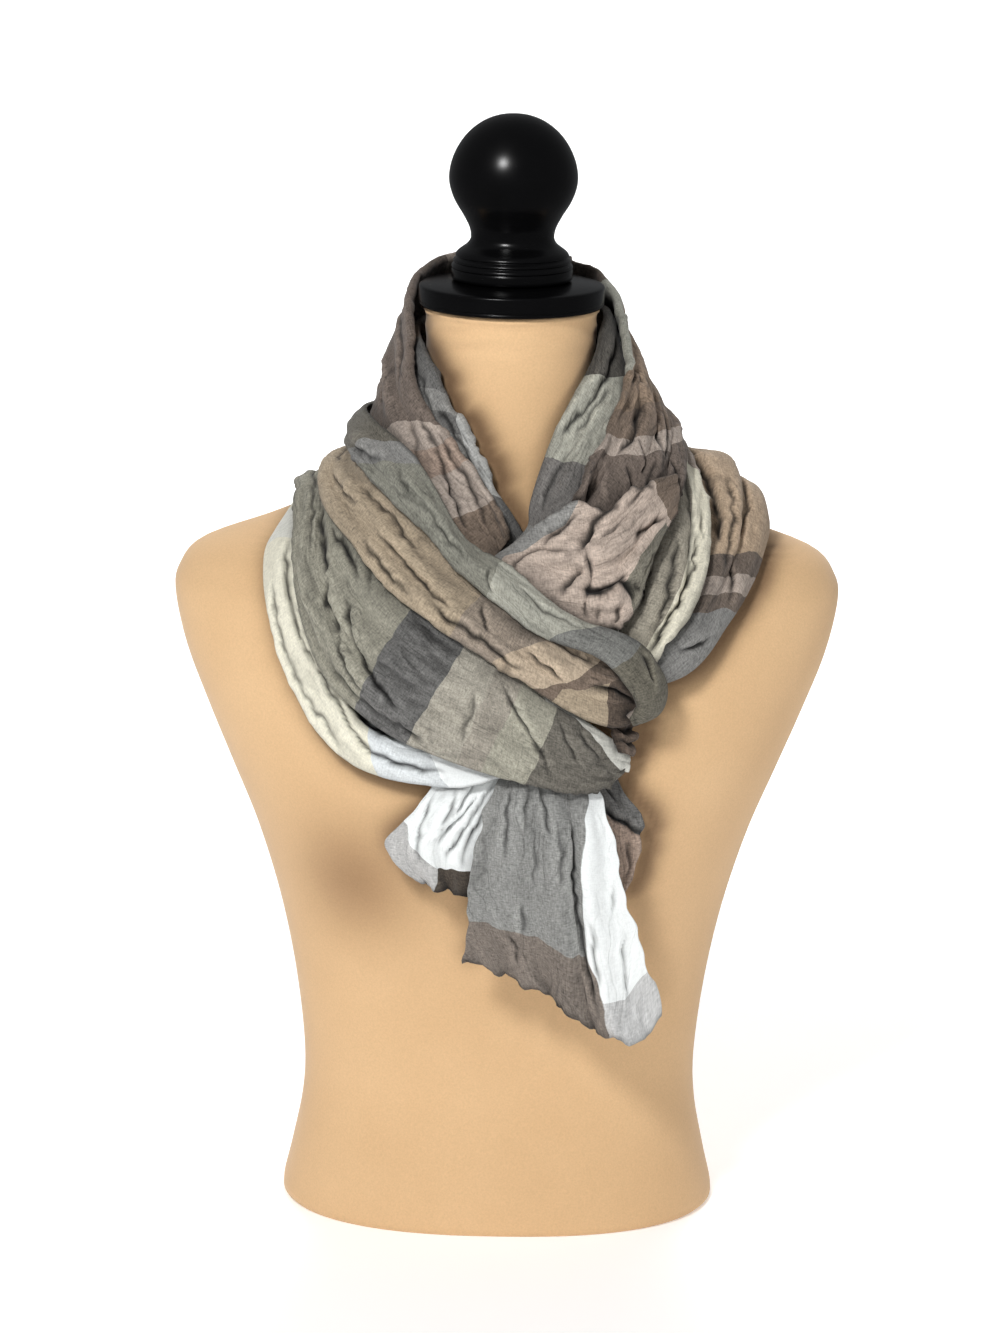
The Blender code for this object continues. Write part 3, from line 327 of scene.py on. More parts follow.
LOOKS = {
    "inner_left": look(0.9, 11, [
        (-2.6, 1.3, 5, 30, 14, 16, 22, 13, 31, 20), (-1.8, 1.2, 12, 10, 20, 2, 28, 6),
        (-1.6, 1.3, 25, 45, 35, 30, 43, 25)]),
    "collar_left": look(1.3, 12, [
        (-3.4, 1.5, 31, 10, 22, 16, 16, 33, 7, 52), (-3.1, 1.3, 26, 3, 19, 6, 13, 10, 5, 22),
        (-2.1, 2.0, 33, 19, 26, 35, 17, 50), (-2.2, 1.5, 37, 71, 28, 56, 20, 62),
        (-2.3, 2.0, 62, 25, 47, 12, 38, 22), (2.1, 2.6, 60, 55, 46, 42, 34, 46),
        (-2.9, 1.8, 58, 72, 50, 58, 42, 62), (-3.1, 1.8, 66, 40, 78, 46, 95, 38),
        (-2.6, 1.6, 72, 70, 84, 64, 97, 72)]),
    "inner_right": look(1.2, 13, [
        (-3.6, 1.6, 22, 27, 31, 31, 40, 27, 49, 19, 60, 6), (-2.0, 1.5, 35, 45, 48, 33, 58, 28),
        (-1.6, 1.3, 60, 30, 70, 22, 80, 24)]),
    "tail_back": look(1.8, 14, [
        (-2.2, 1.5, 5, 35, 22, 42, 40, 60), (-1.8, 1.3, 60, 62, 75, 60, 95, 66),
        (-4.6, 1.6, 31, 2, 45, 40, 57, 80, 62, 100)],
        rag=2.4, trim=[(0, 0, 72), (25, 0, 82), (42, 0, 100), (53, 0, 100), (60, 0, 86), (72, 0, 90),
                       (80, 0, 82), (90, 0, 80), (100, 10, 60)]),
    "tail_gusset": look(0.5, 15, [
        (-3.2, 1.5, 12, 84, 33, 77, 45, 71, 60, 68, 78, 60), (-2.4, 1.3, 16, 78, 37, 62, 48, 52, 66, 50),
        (-2.6, 1.3, 16, 92, 35, 85, 48, 81, 61, 81, 80, 80), (-1.8, 1.2, 16, 36, 36, 40, 52, 46, 66, 42),
        (-1.6, 1.2, 22, 10, 45, 20, 60, 31, 80, 33), (-1.8, 1.2, 10, 56, 30, 50, 42, 46)]),
    "tail_panel": look(0.4, 16, [
        (-1.8, 1.2, 8, 18, 26, 19, 43, 23), (-1.4, 1.1, 8, 31, 20, 32, 30, 32),
        (-2.2, 1.2, 8, 46, 20, 49, 31, 53), (-3.0, 1.4, 20, 67, 40, 68, 58, 67, 75, 67, 92, 71),
        (-1.4, 1.1, 58, 33, 68, 34, 76, 33), (-1.8, 1.1, 74, 24, 81, 28, 88, 29),
        (-1.8, 1.1, 64, 76, 74, 75, 86, 74), (-1.2, 1.1, 50, 94, 57, 91, 65, 90),
        (-1.6, 1.1, 70, 93, 79, 89, 90, 88), (-1.3, 1.2, 20, 57, 36, 59, 52, 58),
        (-1.0, 1.1, 30, 40, 45, 42, 55, 40), (3.0, 3.2, 7, 41, 12, 41, 17, 41)],
        trim=[(0, 0, 100), (92, 0, 100), (100, 2, 96)],
        hang=[(0, 0.0), (57, 0.0), (61, 6.0), (67, 7.5), (71, 5.0), (75, 0.0), (100, 0.0)]),
    "front_cream": look(0.4, 17, [
        (-8.0, 2.6, 36, 36, 32.5, 36, 30.5, 36, 28, 36, 26, 35, 22, 37),
        (-8.0, 2.6, 35, 40, 32, 41.5, 30, 42, 27.5, 41.5, 25, 42),
        (-3.0, 1.2, 70, 52, 59, 57.5, 53, 58.5, 46, 51, 38, 51, 32, 60, 24, 76, 12, 74),
        (-3.0, 1.2, 55, 47, 48.5, 44.4, 42, 41.5), (-1.7, 1.2, 64, 76, 54, 88, 44, 87, 36, 84, 31, 93),
        (-1.4, 1.1, 58, 52, 52, 40, 44, 36), (1.4, 1.8, 24, 42, 14, 45, 5, 55),
        (-1.6, 1.3, 95, 45, 84, 52, 74, 50)],
        trim=[(0, 0, 36), (2, 0, 50), (5, 0, 78), (9, 0, 94), (14, 0, 100), (100, 0, 100)]),
    "rear_turn": look(0.6, 18, [
        (-6.0, 2.6, 36, 5, 30, 12, 26, 19, 22, 26, 17, 27), (-2.6, 1.4, 29, 31, 26, 37, 21, 42, 15, 45),
        (1.2, 3.0, 20, 30, 24, 36, 27, 38), (-2.6, 1.5, 4, 55, 7, 74, 10, 84),
        (-3.0, 1.5, 19, 48, 17, 72, 14, 82), (-2.2, 1.6, 36, 62, 28, 66, 21, 60),
        (-2.4, 2.0, 43, 26, 54, 30, 66, 26), (-2.6, 1.8, 44, 52, 58, 62, 74, 58, 86, 64),
        (-2.2, 1.6, 46, 80, 58, 84, 68, 80), (-2.8, 1.8, 76, 30, 88, 36, 98, 44)]),
    "shoulder_stripe": look(1.2, 19, [
        (-4.2, 1.1, 30, 80, 20, 86, 15, 83, 10, 82, 6, 86, 0, 83),
        (-3.2, 1.5, 25, 53, 16, 64, 10, 71, 3, 82), (-2.2, 1.1, 42, 66, 34, 68, 28, 75, 14, 82, 3, 90),
        (-3.0, 1.5, 30, 22, 18, 32, 8, 38), (-1.8, 1.1, 36, 86, 28, 88, 18, 91),
        (-3.2, 1.6, 55, 35, 68, 42, 80, 36), (-3.0, 1.6, 60, 70, 76, 64, 92, 70)],
        trim=[(0, 0, 100), (52, 0, 100), (57, 0, 84), (69, 0, 84), (75, 0, 100), (100, 0, 100)]),
    "collar_right": look(1.6, 12, [
        (-5.0, 1.6, 54, 20, 62, 22, 68, 22, 74, 20), (-4.2, 1.5, 47, 26, 53, 32, 57, 46, 63, 58),
        (-3.6, 1.4, 66, 28, 68, 40, 71, 52), (-4.2, 1.5, 74, 28, 76, 42, 79, 54),
        (-3.1, 1.4, 48, 54, 56, 61, 64, 61), (-3.1, 1.4, 65, 55, 71, 57, 77, 68),
        (-4.2, 1.5, 58, 78, 62, 82, 67, 90), (-7.0, 2.3, 83, 3, 86, 7, 90, 13),
        (-3.1, 1.6, 57, 3, 50, 12, 52, 28), (2.8, 2.4, 78, 6, 80, 18, 85, 26),
        (-3.4, 1.8, 4, 35, 16, 42, 30, 38), (-2.8, 1.6, 6, 72, 20, 66, 34, 70)],
        trim=[(0, 0, 100), (38, 0, 100), (43, 0, 88), (50, 0, 88), (56, 0, 95), (64, 0, 90), (84, 0, 88),
              (92, 0, 100), (100, 0, 100)]),
    "mauve_bunch": look(1.3, 21, [
        (-9.0, 2.4, 65, 74, 62, 71, 58, 70, 54, 70, 49, 70, 45, 68, 38, 71),
        (-9.0, 2.6, 66, 78, 62, 75, 58, 74, 54, 74, 49, 74, 45, 78, 42, 86),
        (-8.0, 2.6, 47, 66, 43, 82, 41, 97), (-3.4, 1.2, 58, 30, 57, 46, 58, 61, 61, 79, 63, 97),
        (-5.6, 2.5, 62, 40, 55, 29, 50, 17, 42, 10, 33, 9),
        (-3.4, 1.3, 92, 93, 90, 61, 85, 41, 76, 37, 65, 39), (-3.4, 1.8, 72, 84, 69, 73, 65, 63, 60, 52),
        (-3.6, 1.4, 34, 14, 25, 6, 17, 6), (-5.0, 1.7, 36, 44, 32, 47, 21, 57, 10, 70),
        (-2.2, 1.1, 54, 100, 50, 93, 47, 84), (-2.2, 1.1, 59, 98, 56.5, 84, 55.5, 68),
        (-2.0, 1.1, 20, 98, 27, 86, 33, 84), (-2.4, 1.2, 34, 98, 37, 90, 38, 84),
        (-3.0, 1.4, 79, 30, 72, 20, 62, 13, 54, 5), (-2.2, 1.3, 50, 32, 44, 30, 38, 26),
        (2.2, 2.6, 55, 44, 46, 42, 36, 30), (1.8, 3.0, 52, 84, 50, 80, 47, 78)],
        trim=[(0, 0, 100), (30, 5, 100), (44, 10, 100), (50, 5, 100), (55, 0, 100), (60, 0, 100),
              (66, 4, 100), (100, 0, 100)]),
    "front_wide": look(1.2, 18, [
        (-7.0, 2.0, 20, 46, 25, 48, 31, 46, 36, 52), (-6.0, 1.8, 36, 50, 38, 62, 42, 64, 44, 74),
        (-4.6, 1.6, 27, 28, 33, 20, 37, 21, 41, 25), (-4.2, 1.4, 41, 42, 48, 61, 52, 70, 56, 76, 60, 82),
        (-2.4, 1.2, 44, 70, 47, 77, 51, 83, 54, 86), (-2.0, 3.0, 52, 14, 60, 22, 66, 20),
        (-2.4, 1.2, 73, 22, 77, 36, 81, 50, 83, 68, 85, 87),
        (1.6, 1.4, 62, 99, 61, 93, 62, 87, 64, 85, 65, 92, 64, 99), (-1.6, 1.6, 70, 38, 70, 64, 70, 85),
        (-1.9, 1.2, 85, 15, 87, 37, 90, 64), (-1.9, 1.2, 89, 16, 91, 30, 94, 48),
        (-1.8, 2.1, 44, 90, 51, 93, 58, 91, 66, 94), (1.8, 2.8, 28, 88, 37, 86, 43, 88),
        (-2.2, 2.0, 41, 2, 50, 4, 60, 9), (-1.6, 1.5, 34, 2, 40, 12, 45, 28),
        (-2.6, 1.6, 2, 30, 10, 36, 18, 30), (-2.2, 1.5, 4, 66, 12, 70, 22, 66, 30, 70)]),
    "knot_gathers": look(1.8, 23, [
        (-4.6, 1.5, 22, 0, 30, 40, 26, 100), (-5.6, 1.8, 48, 0, 54, 50, 48, 100),
        (-4.6, 1.5, 74, 0, 80, 60, 78, 100)],
        trim=[(0, 0, 90), (12, 0, 100), (25, 0, 82), (38, 0, 100), (50, 0, 78), (62, 0, 95), (76, 0, 74),
              (88, 0, 92), (100, 0, 80)]),
    "front_middle": look(0.9, 24, [
        (-2.5, 1.3, 26, 60, 33, 52, 40, 48), (-2.9, 1.4, 46, 54, 56, 58, 63, 71, 67, 82),
        (-2.6, 1.3, 44, 84, 52, 88, 59, 90), (-3.6, 1.6, 61, 80, 66, 87, 70, 88, 75, 91, 80, 95),
        (-2.3, 1.1, 69, 38, 71, 60, 73, 80), (-3.1, 1.4, 79, 60, 83, 62, 87, 65),
        (-2.5, 1.4, 83, 24, 88, 22, 94, 20), (-5.2, 1.6, 90, 60, 94, 47, 97, 56, 100, 68),
        (2.3, 2.6, 64, 24, 77, 23, 88, 28), (-2.3, 1.3, 36, 30, 46, 26, 54, 32),
        (-2.9, 1.5, 6, 40, 14, 46, 24, 42)]),
    "front_upper": look(0.8, 19, [
        (-2.6, 2.1, 39, 92, 43, 74, 48, 55), (-1.9, 2.1, 50, 52, 53, 60, 56, 66),
        (-1.4, 1.1, 68, 42, 68, 70, 68, 96), (2.4, 1.9, 89, 36, 91, 42, 94, 46),
        (-2.9, 1.2, 88.5, 10, 91, 30, 93.5, 56), (-2.2, 1.5, 55, 55, 60, 66, 65, 56),
        (-1.9, 1.3, 72, 30, 77, 36, 82, 32), (-2.4, 1.6, 4, 45, 14, 52, 26, 48)]),
}
CLOTHS = [
    woven("scarf_inner_turn", ("inner_left", "inner_right"), 1,
          [(0, "slate"), (140, "blue_grey"), (165, "slate"), (195, "blue_grey"), (222, "slate"),
           (300, "brown_taupe"), (400, "mauve"), (500, "dark_slate"), (726, "pale_green"),
           (841, "warm_slate"), (930, "blue_grey")],
          Stripe(-1, [(0, -300), (50, -200), (67, 100), (100, 130), (130, 100), (153, 50), (170, -300),
                      (1000, -300)], [(0, "grey_hem")]),
          [(0, 70), (240, 70), (400, 0), (650, 0), (726, -95), (841, -48), (1000, 0)],
          (0.045, 0.54), "draped", ["form_jersey"]),
    woven("scarf_collar_turn", ("collar_left", "collar_right"), 2,
          [(0, "brown"), (57, "mauve"), (109, "mauve_brown"), (149, "mauve"), (186, "brown_taupe"),
           (400, "mauve"), (480, "brown_taupe"), (570, "dull_tan"), (764, "brown"), (811, "mauve"),
           (841, "brown_taupe")],
          Stripe(-1, [(0, -600), (600, -600), (630, 10), (700, 30), (760, 30), (800, -20), (830, -600),
                      (1000, -600)], [(0, "pale_green")]),
          [(0, 20), (109, 25), (149, 75), (186, 40), (400, 0), (600, -100), (764, -175), (841, -174),
           (900, -120), (1000, -120)], (0.1, 0.57), "draped", ["scarf_inner_turn"]),
    woven("scarf_second_turn", ("shoulder_stripe", "front_upper"), 3,
          [(0, "olive_grey"), (240, "brown_taupe"), (340, "green_grey"), (450, "taupe"), (652, "blue_grey"),
           (683, "green_grey"), (807, "pale_green"), (879, "mid_slate"), (922, "loop_olive")],
          Stripe(1, [(0, 740), (30, 770), (45, 730), (70, 730), (95, 760), (133, 710), (157, 680),
                     (200, 700), (360, 740), (420, 1400), (1000, 1400)],
                 [(0, "shaded_cream"), (172, "mauve"), (250, "shaded_cream"), (330, "mauve")]),
          [(0, 40), (200, 40), (400, 0), (652, -50), (683, -53), (807, -11), (879, -41), (922, -5),
           (1000, 0)], (0.044, 0.78), "draped", ["scarf_collar_turn"]),
    woven("scarf_outer_turn", ("rear_turn", "front_wide"), 4,
          [(0, "blue_grey"), (58, "rear_brown"), (71, "mauve"), (89, "rear_brown"), (109, "rear_tan"),
           (230, "mauve"), (300, "rear_brown"), (380, "light_taupe"), (450, "slate"), (520, "rear_tan"),
           (575, "sage"), (800, "slate"), (846, "light_taupe"), (877, "mid_taupe"), (898, "light_green"),
           (929, "charcoal")],
          Stripe(-1, [(0, -600), (900, -600), (915, -50), (926, 90), (941, 60), (953, 60), (962, 120),
                      (972, 230), (985, 480), (1000, 900)], [(0, "pale_hem")]),
          [(0, 60), (130, 60), (250, 0), (800, 4), (846, -13), (877, -7), (898, -18), (1000, -15)],
          (0.074, 0.85), "draped", ["form_jersey"]),
    woven("scarf_front_middle", ("front_middle",), 5,
          [(0, "tan"), (674, "mid_brown"), (791, "light_tan"), (886, "brown")],
          Stripe(1, [(0, 1400), (840, 1300), (860, 820), (930, 450), (950, 360), (1000, 300)],
                 [(0, "tan"), (934, "dark_brown")]),
          [(0, 0), (674, -9), (791, -110), (886, -129), (1000, -120)],
          (0.049, 0.36), "draped", ["scarf_outer_turn"]),
    woven("scarf_front_cream", ("front_cream",), 6,
          [(0, "white"), (156, "pale_blue"), (285, "cream"), (700, "pale_hem"), (800, "cream")],
          None,
          [(0, -80), (400, -90), (700, 40), (1000, 0)], (0.043, 0.325), "draped", ["form_jersey"]),
    woven("scarf_mauve_bunch", ("mauve_bunch",), 7,
          [(0, "brown"), (120, "rose"), (955, "blue_grey")],
          Stripe(1, [(0, 1300), (60, 1200), (110, 800), (240, 720), (330, 680), (410, 720), (430, 820),
                     (415, 970), (420, 1400), (1000, 1400)], [(0, "deep_olive")]),
          [(0, -120), (150, -120), (300, -40), (450, 200), (560, 800), (650, 850), (790, 550), (866, 500),
           (950, 100), (1000, 0)], (0.061, 0.132), "gathered", ["scarf_collar_turn"]),
    woven("scarf_knot_gathers", ("knot_gathers",), 8,
          [(0, "gather_brown")],
          None,
          [(0, 0), (1000, 0)], (0.027, 0.033), "gathered", ["scarf_outer_turn"]),
    woven("scarf_tail_panel", ("tail_panel",), 9,
          [(0, "panel_grey"), (757, "hem_brown")],
          Stripe(1, [(0, 920), (150, 850), (210, 800), (385, 750), (580, 730), (700, 715), (770, 710),
                     (840, 745), (900, 755), (1000, 720)], [(0, "white"), (875, "hem_grey")]),
          [(0, 100), (1000, 130)], (0.107, 0.152), "hung", ["scarf_outer_turn"]),
    woven("scarf_tail_gusset", ("tail_gusset",), 10,
          [(0, "white"), (825, "gusset_grey")],
          Stripe(1, [(0, 1400), (780, 1400), (820, 500), (900, 450), (1000, 380)], [(0, "curl_brown")]),
          [(0, 0), (350, 500), (500, 750), (1000, 750)], (0.054, 0.083), "hung", ["scarf_tail_panel"]),
    woven("scarf_tail_back", ("tail_back",), 11,
          [(0, "slate"), (495, "mauve_brown")],
          None,
          [(0, 290), (1000, 290)], (0.026, 0.085), "hung", ["scarf_tail_panel"]),
]


# ------------------------------------------------------------------ helpers
def unit(vectors):
    """Vectors of length one along the last axis."""
    length = np.linalg.norm(vectors, axis=-1, keepdims=True)
    return vectors / np.maximum(length, TINY)


def smooth_rows(rows, places):
    """A Catmull-Rom curve through the rows, read at places given in row numbers."""
    table = np.asarray(rows, float)
    last = len(table) - 1
    low = np.clip(np.floor(places).astype(int), 0, last - 1)
    part = (places - low)[:, None]
    before, start = table[np.maximum(low - 1, 0)], table[low]
    end, after = table[low + 1], table[np.minimum(low + 2, last)]
    return 0.5 * (2 * start + (end - before) * part + (2 * before - 5 * start + 4 * end - after) * part ** 2
                  + (3 * start - before - 3 * end + after) * part ** 3)


def ramp(value):
    """0 below 0, 1 above 1 and a smooth rise between."""
    value = np.clip(value, 0, 1)
    return value * value * (3 - 2 * value)


def noise(x, y, seed):
    """Smooth noise from about -1 to 1 at places given in cells."""
    angle = np.random.default_rng(seed).uniform(0, 2 * math.pi, (NOISE_CELLS, NOISE_CELLS))
    column, row = np.floor(x).astype(int), np.floor(y).astype(int)
    right, up = x - column, y - row
    total = np.zeros(np.broadcast(right, up).shape)
    for i in (0, 1):
        for j in (0, 1):
            turn = angle[(column + i) % NOISE_CELLS, (row + j) % NOISE_CELLS]
            weight = (1 - ramp(np.abs(right - i))) * (1 - ramp(np.abs(up - j)))
            total += weight * (np.cos(turn) * (right - i) + np.sin(turn) * (up - j))
    return total * NOISE_HEIGHT


def resample(grid, rows, columns):
    """A grid of points read again on a smooth surface with other numbers of rows and columns."""
    for count in (rows, columns):
        flat = grid.reshape(len(grid), -1)
        read = smooth_rows(flat, np.linspace(0, len(grid) - 1, count))
        grid = read.reshape(count, -1, 3).swapaxes(0, 1)
    return grid


def surface_normals(grid):
    """Unit normals of a grid of points, on the outer side."""
    along = np.gradient(grid, axis=0)
    across = np.gradient(grid, axis=1)
    normal = unit(np.cross(along, across))
    return normal if np.sum(normal * way_out(grid)) > 0 else -normal


def spread(values, passes, widen):
    """Blur a grid of offsets; with widen each pass first takes the largest neighbour."""
    for _ in range(passes):
        padded = np.pad(values, 1, mode="edge")
        around = np.stack([padded[i:i + values.shape[0], j:j + values.shape[1]]
                           for i in range(3) for j in range(3)])
        values = around.max(axis=0) if widen else around.mean(axis=0)
    return values


# ------------------------------------------------------------------ the stretches as their solids have them
def way_out(points):
    """Unit vectors that lead out from the form at points in millimetres."""
    x, z = points[..., 0], points[..., 2]
    zero = np.zeros_like(x)
    from_neck = points - np.stack([zero, zero, np.clip(z, NECK_FOOT, NECK_HEAD)], -1)
    plate_x = np.clip(x, -TRUNK_HALF, TRUNK_HALF)
    plate_z = np.minimum(z, TRUNK_TOP - TRUNK_FALL * np.abs(plate_x))
    from_trunk = points - np.stack([plate_x, zero, plate_z], -1)
    neck = np.exp(-(np.linalg.norm(from_neck, axis=-1, keepdims=True) - NECK_RADIUS) / FIELD_BLEND)
    trunk = np.exp(-(np.linalg.norm(from_trunk, axis=-1, keepdims=True) - TRUNK_DEPTH) / FIELD_BLEND)
    way = unit(from_neck) * neck + unit(from_trunk) * trunk
    way[..., 2] += (FIELD_LIFT * (neck + trunk))[..., 0]
    return unit(way)


def section_frames(part, along):
    """Edge points, bow and outward normal of evenly spaced sections along a stretch."""
    spots = np.linspace(0, len(part.sections) - 1, MEASURES)
    fine = smooth_rows(part.sections, spots)
    middle = (fine[:, 0:3] + fine[:, 3:6]) / 2
    run = np.concatenate([[0], np.cumsum(np.linalg.norm(np.diff(middle, axis=0), axis=1))])
    places = np.interp(np.linspace(0, run[-1], along), run, spots)
    rows = smooth_rows(part.sections, places)
    upper, lower, bow = rows[:, 0:3], rows[:, 3:6], rows[:, 6]
    middle = (upper + lower) / 2
    ahead = unit(np.gradient(middle, axis=0))
    down = unit(lower - upper)
    normal = unit(np.cross(ahead, down))
    if np.sum(normal * way_out(middle)) < 0:
        normal = -normal
    return upper, lower, bow, normal


def fold_height(part, along, across, width):
    """How far the folds stand out at places along and across a band of a given width."""
    height = np.zeros(np.broadcast(along, across).shape)
    for fold in part.folds:
        share = (along - fold.begin) / (fold.finish - fold.begin)
        centre = fold.across_start + (fold.across_end - fold.across_start) * share
        rise = ramp(share / FADE) if fold.begin > 0 else 1.0
        fall = ramp((1 - share) / FADE) if fold.finish < 1 else 1.0
        fade = np.where((share < 0) | (share > 1), 0, rise * fall)
        height = height + fold.height * fade * np.exp(-((across - centre) * width / fold.width) ** 2)
    return height


def turned_edge(edge, steps):
    """Offsets beyond an edge and below it, from the band's last point to the end of the turned part."""
    if edge.turn == 0:
        return []
    angles = [math.radians(edge.turn) * step / steps for step in range(1, steps + 1)]
    offsets = [(edge.radius * math.sin(angle), edge.radius * (1 - math.cos(angle))) for angle in angles]
    if edge.tuck:
        angle = math.radians(edge.turn)
        beyond, below = offsets[-1]
        offsets.append((beyond + edge.tuck * math.cos(angle), below + edge.tuck * math.sin(angle)))
    return offsets


def with_edges(core, down_first, down_last, out_first, out_last, part, steps):
    """A band with its turned edges: the whole grid and the number of columns turned at each side."""
    first = [core[:, 0] - down_first * beyond - out_first * below
             for beyond, below in turned_edge(part.upper, steps)]
    last = [core[:, -1] + down_last * beyond - out_last * below
            for beyond, below in turned_edge(part.lower, steps)]
    columns = first[::-1] + [core[:, column] for column in range(core.shape[1])] + last
    return np.stack(columns, axis=1), len(first), len(last)


def hang_hem(part, grid):
    """Let a free end hang below its last section, with the waves of its hem."""
    u = np.linspace(0, 1, grid.shape[0])[:, None]
    v = np.linspace(0, 1, grid.shape[1])[None, :]
    drop = np.interp(v, *zip(*part.hem))
    near = ramp((u - HEM_BEGINS) / (1 - HEM_BEGINS))
    moved = grid.copy()
    moved[..., 2] -= drop * near
    moved[..., 1] += part.ruffle * near ** 2 * np.sin(v * 2 * math.pi * RUFFLE_WAVES + RUFFLE_START)
    return moved


def band(part):
    """The grid of a stretch before it is laid, and how many of its columns are turned edge on each side."""
    upper, lower, bow, normal = section_frames(part, part.along)
    down = unit(lower - upper)
    upper = upper + down * part.upper.radius
    lower = lower - down * part.lower.radius
    width = np.linalg.norm(lower - upper, axis=1)
    u = np.linspace(0, 1, part.along)[:, None]
    v = np.linspace(0, 1, part.across)[None, :]
    stand = bow[:, None] * 4 * v * (1 - v) + fold_height(part, u, v, width[:, None])
    flat = upper[:, None] * (1 - v[..., None]) + lower[:, None] * v[..., None]
    core = flat + normal[:, None] * stand[..., None]
    grid, first, last = with_edges(core, down, down, normal, normal, part, 2)
    return (hang_hem(part, grid) if part.hem else grid), first, last


def refine(grid):
    """Rows of points set between the rows of a grid, on straight lines."""
    places = np.arange((len(grid) - 1) * BETWEEN + 1) / BETWEEN
    low = np.minimum(places.astype(int), len(grid) - 2)
    part = (places - low)[:, None, None]
    return grid[low] * (1 - part) + grid[low + 1] * part


def feel(grid, trees, reach):
    """How deep each point lies below the outermost thing beneath it; -reach over nothing."""
    way = way_out(grid)
    depth = np.full(grid.shape[:2], -reach)
    for row in range(grid.shape[0]):
        for column in range(grid.shape[1]):
            out = Vector(way[row, column])
            start = Vector(grid[row, column]) + out * reach
            for tree in trees:
                hit = tree.ray_cast(start, -out, reach * 2)
                if hit[0] is not None:
                    depth[row, column] = max(depth[row, column], reach - hit[3])
    return depth


def lift_needed(grid, trees):
    """How far each grid point has to move out to clear what lies beneath; strongly negative over nothing."""
    rows, columns = grid.shape[:2]
    fine = refine(refine(grid).swapaxes(0, 1)).swapaxes(0, 1)
    need = feel(fine, trees, SEARCH)
    padded = np.pad(need + WALL / 2 + CLEAR, BETWEEN - 1, mode="edge")
    blocks = [padded[i:i + BETWEEN * rows:BETWEEN, j:j + BETWEEN * columns:BETWEEN][:rows, :columns]
              for i in range(2 * BETWEEN - 1) for j in range(2 * BETWEEN - 1)]
    return np.max(blocks, axis=0)


def moved_out(grid, offset, turned_first, turned_last):
    """Move a band's points along the way out, its turned edges with the points that they join."""
    last = grid.shape[1] - turned_last
    full = np.concatenate([np.repeat(offset[:, :1], turned_first, 1), offset,
                           np.repeat(offset[:, -1:], turned_last, 1)], axis=1)
    way = way_out(grid)
    way[:, :turned_first] = way[:, turned_first:turned_first + 1]
    way[:, last:] = way[:, last - 1:last]
    return grid + way * full[..., None]


def edge_to_core(need, turned_first, turned_last):
    """Needed offsets of a band's core; each side's last point answers for the edge turned from it."""
    last = need.shape[1] - turned_last
    need[:, turned_first] = need[:, :turned_first + 1].max(axis=1)
    need[:, last - 1] = need[:, last - 1:].max(axis=1)
    return need[:, turned_first:last]


def lay(part, grid, turned_first, turned_last, beneath):
    """Move a stretch along the way out until it lies clear on what is beneath it, as its solid does."""
    for attempt in range(PASSES):
        core = edge_to_core(lift_needed(grid, beneath), turned_first, turned_last)
        if attempt == 0:
            offset = spread(spread(core, 1, True), 2, False)
            offset = np.maximum(np.maximum(offset, core), -part.cling)
            offset = np.maximum(spread(offset, 1, False), np.maximum(core, -part.cling))
        else:
            offset = np.maximum(core, 0)
            offset = np.maximum(spread(spread(offset, 1, True), 1, False), offset)
        grid = moved_out(grid, offset, turned_first, turned_last)
    return grid


def tree_of_node(name):
    """A search tree of a solid, in millimetres."""
    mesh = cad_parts[name].data
    points = [vertex.co / MM for vertex in mesh.vertices]
    return BVHTree.FromPolygons(points, [face.vertices[:] for face in mesh.polygons])


# ------------------------------------------------------------------ the cloth itself
def pleat(value, steep, gentle):
    """A pleat's height from 0 to 1 where a value crosses zero: steep on one side, gentle on the other."""
    return np.minimum(np.where(value > 0, steep, -gentle) * value, 1)


# The crinkle of the gauze: how far its lines drift broadly and finely, the height of each of its parts, and
# the heights that its pleats and its puckers keep where the cloth is calm and gain where it is busy.
DRIFT, FINE_DRIFT = 9, 2.8
LONG_PLEAT, CROSS_PLEAT, SMALL_PLEAT, SHORT_RIDGE, PUCKER, SWELL = 0.60, 0.42, 0.55, 0.26, 0.22, 0.7
CALM_PLEATS, BUSY_PLEATS, CALM_PUCKERS, BUSY_PUCKERS = 0.30, 0.90, 0.15, 0.65
BUSY_SHARE, BUSY_SWING = 0.45, 1.1
# The slopes of each kind of pleat, steep and gentle, and what brings its mean to about nothing.
LONG_SLOPES, CROSS_SLOPES, SMALL_SLOPES = (6.5, 1.9), (6, 1.8), (4.5, 1.5)
PLEAT_MEAN, SMALL_MEAN, RIDGE_MEAN, RIDGE_SLOPE = 0.75, 0.7, 0.6, 2.0


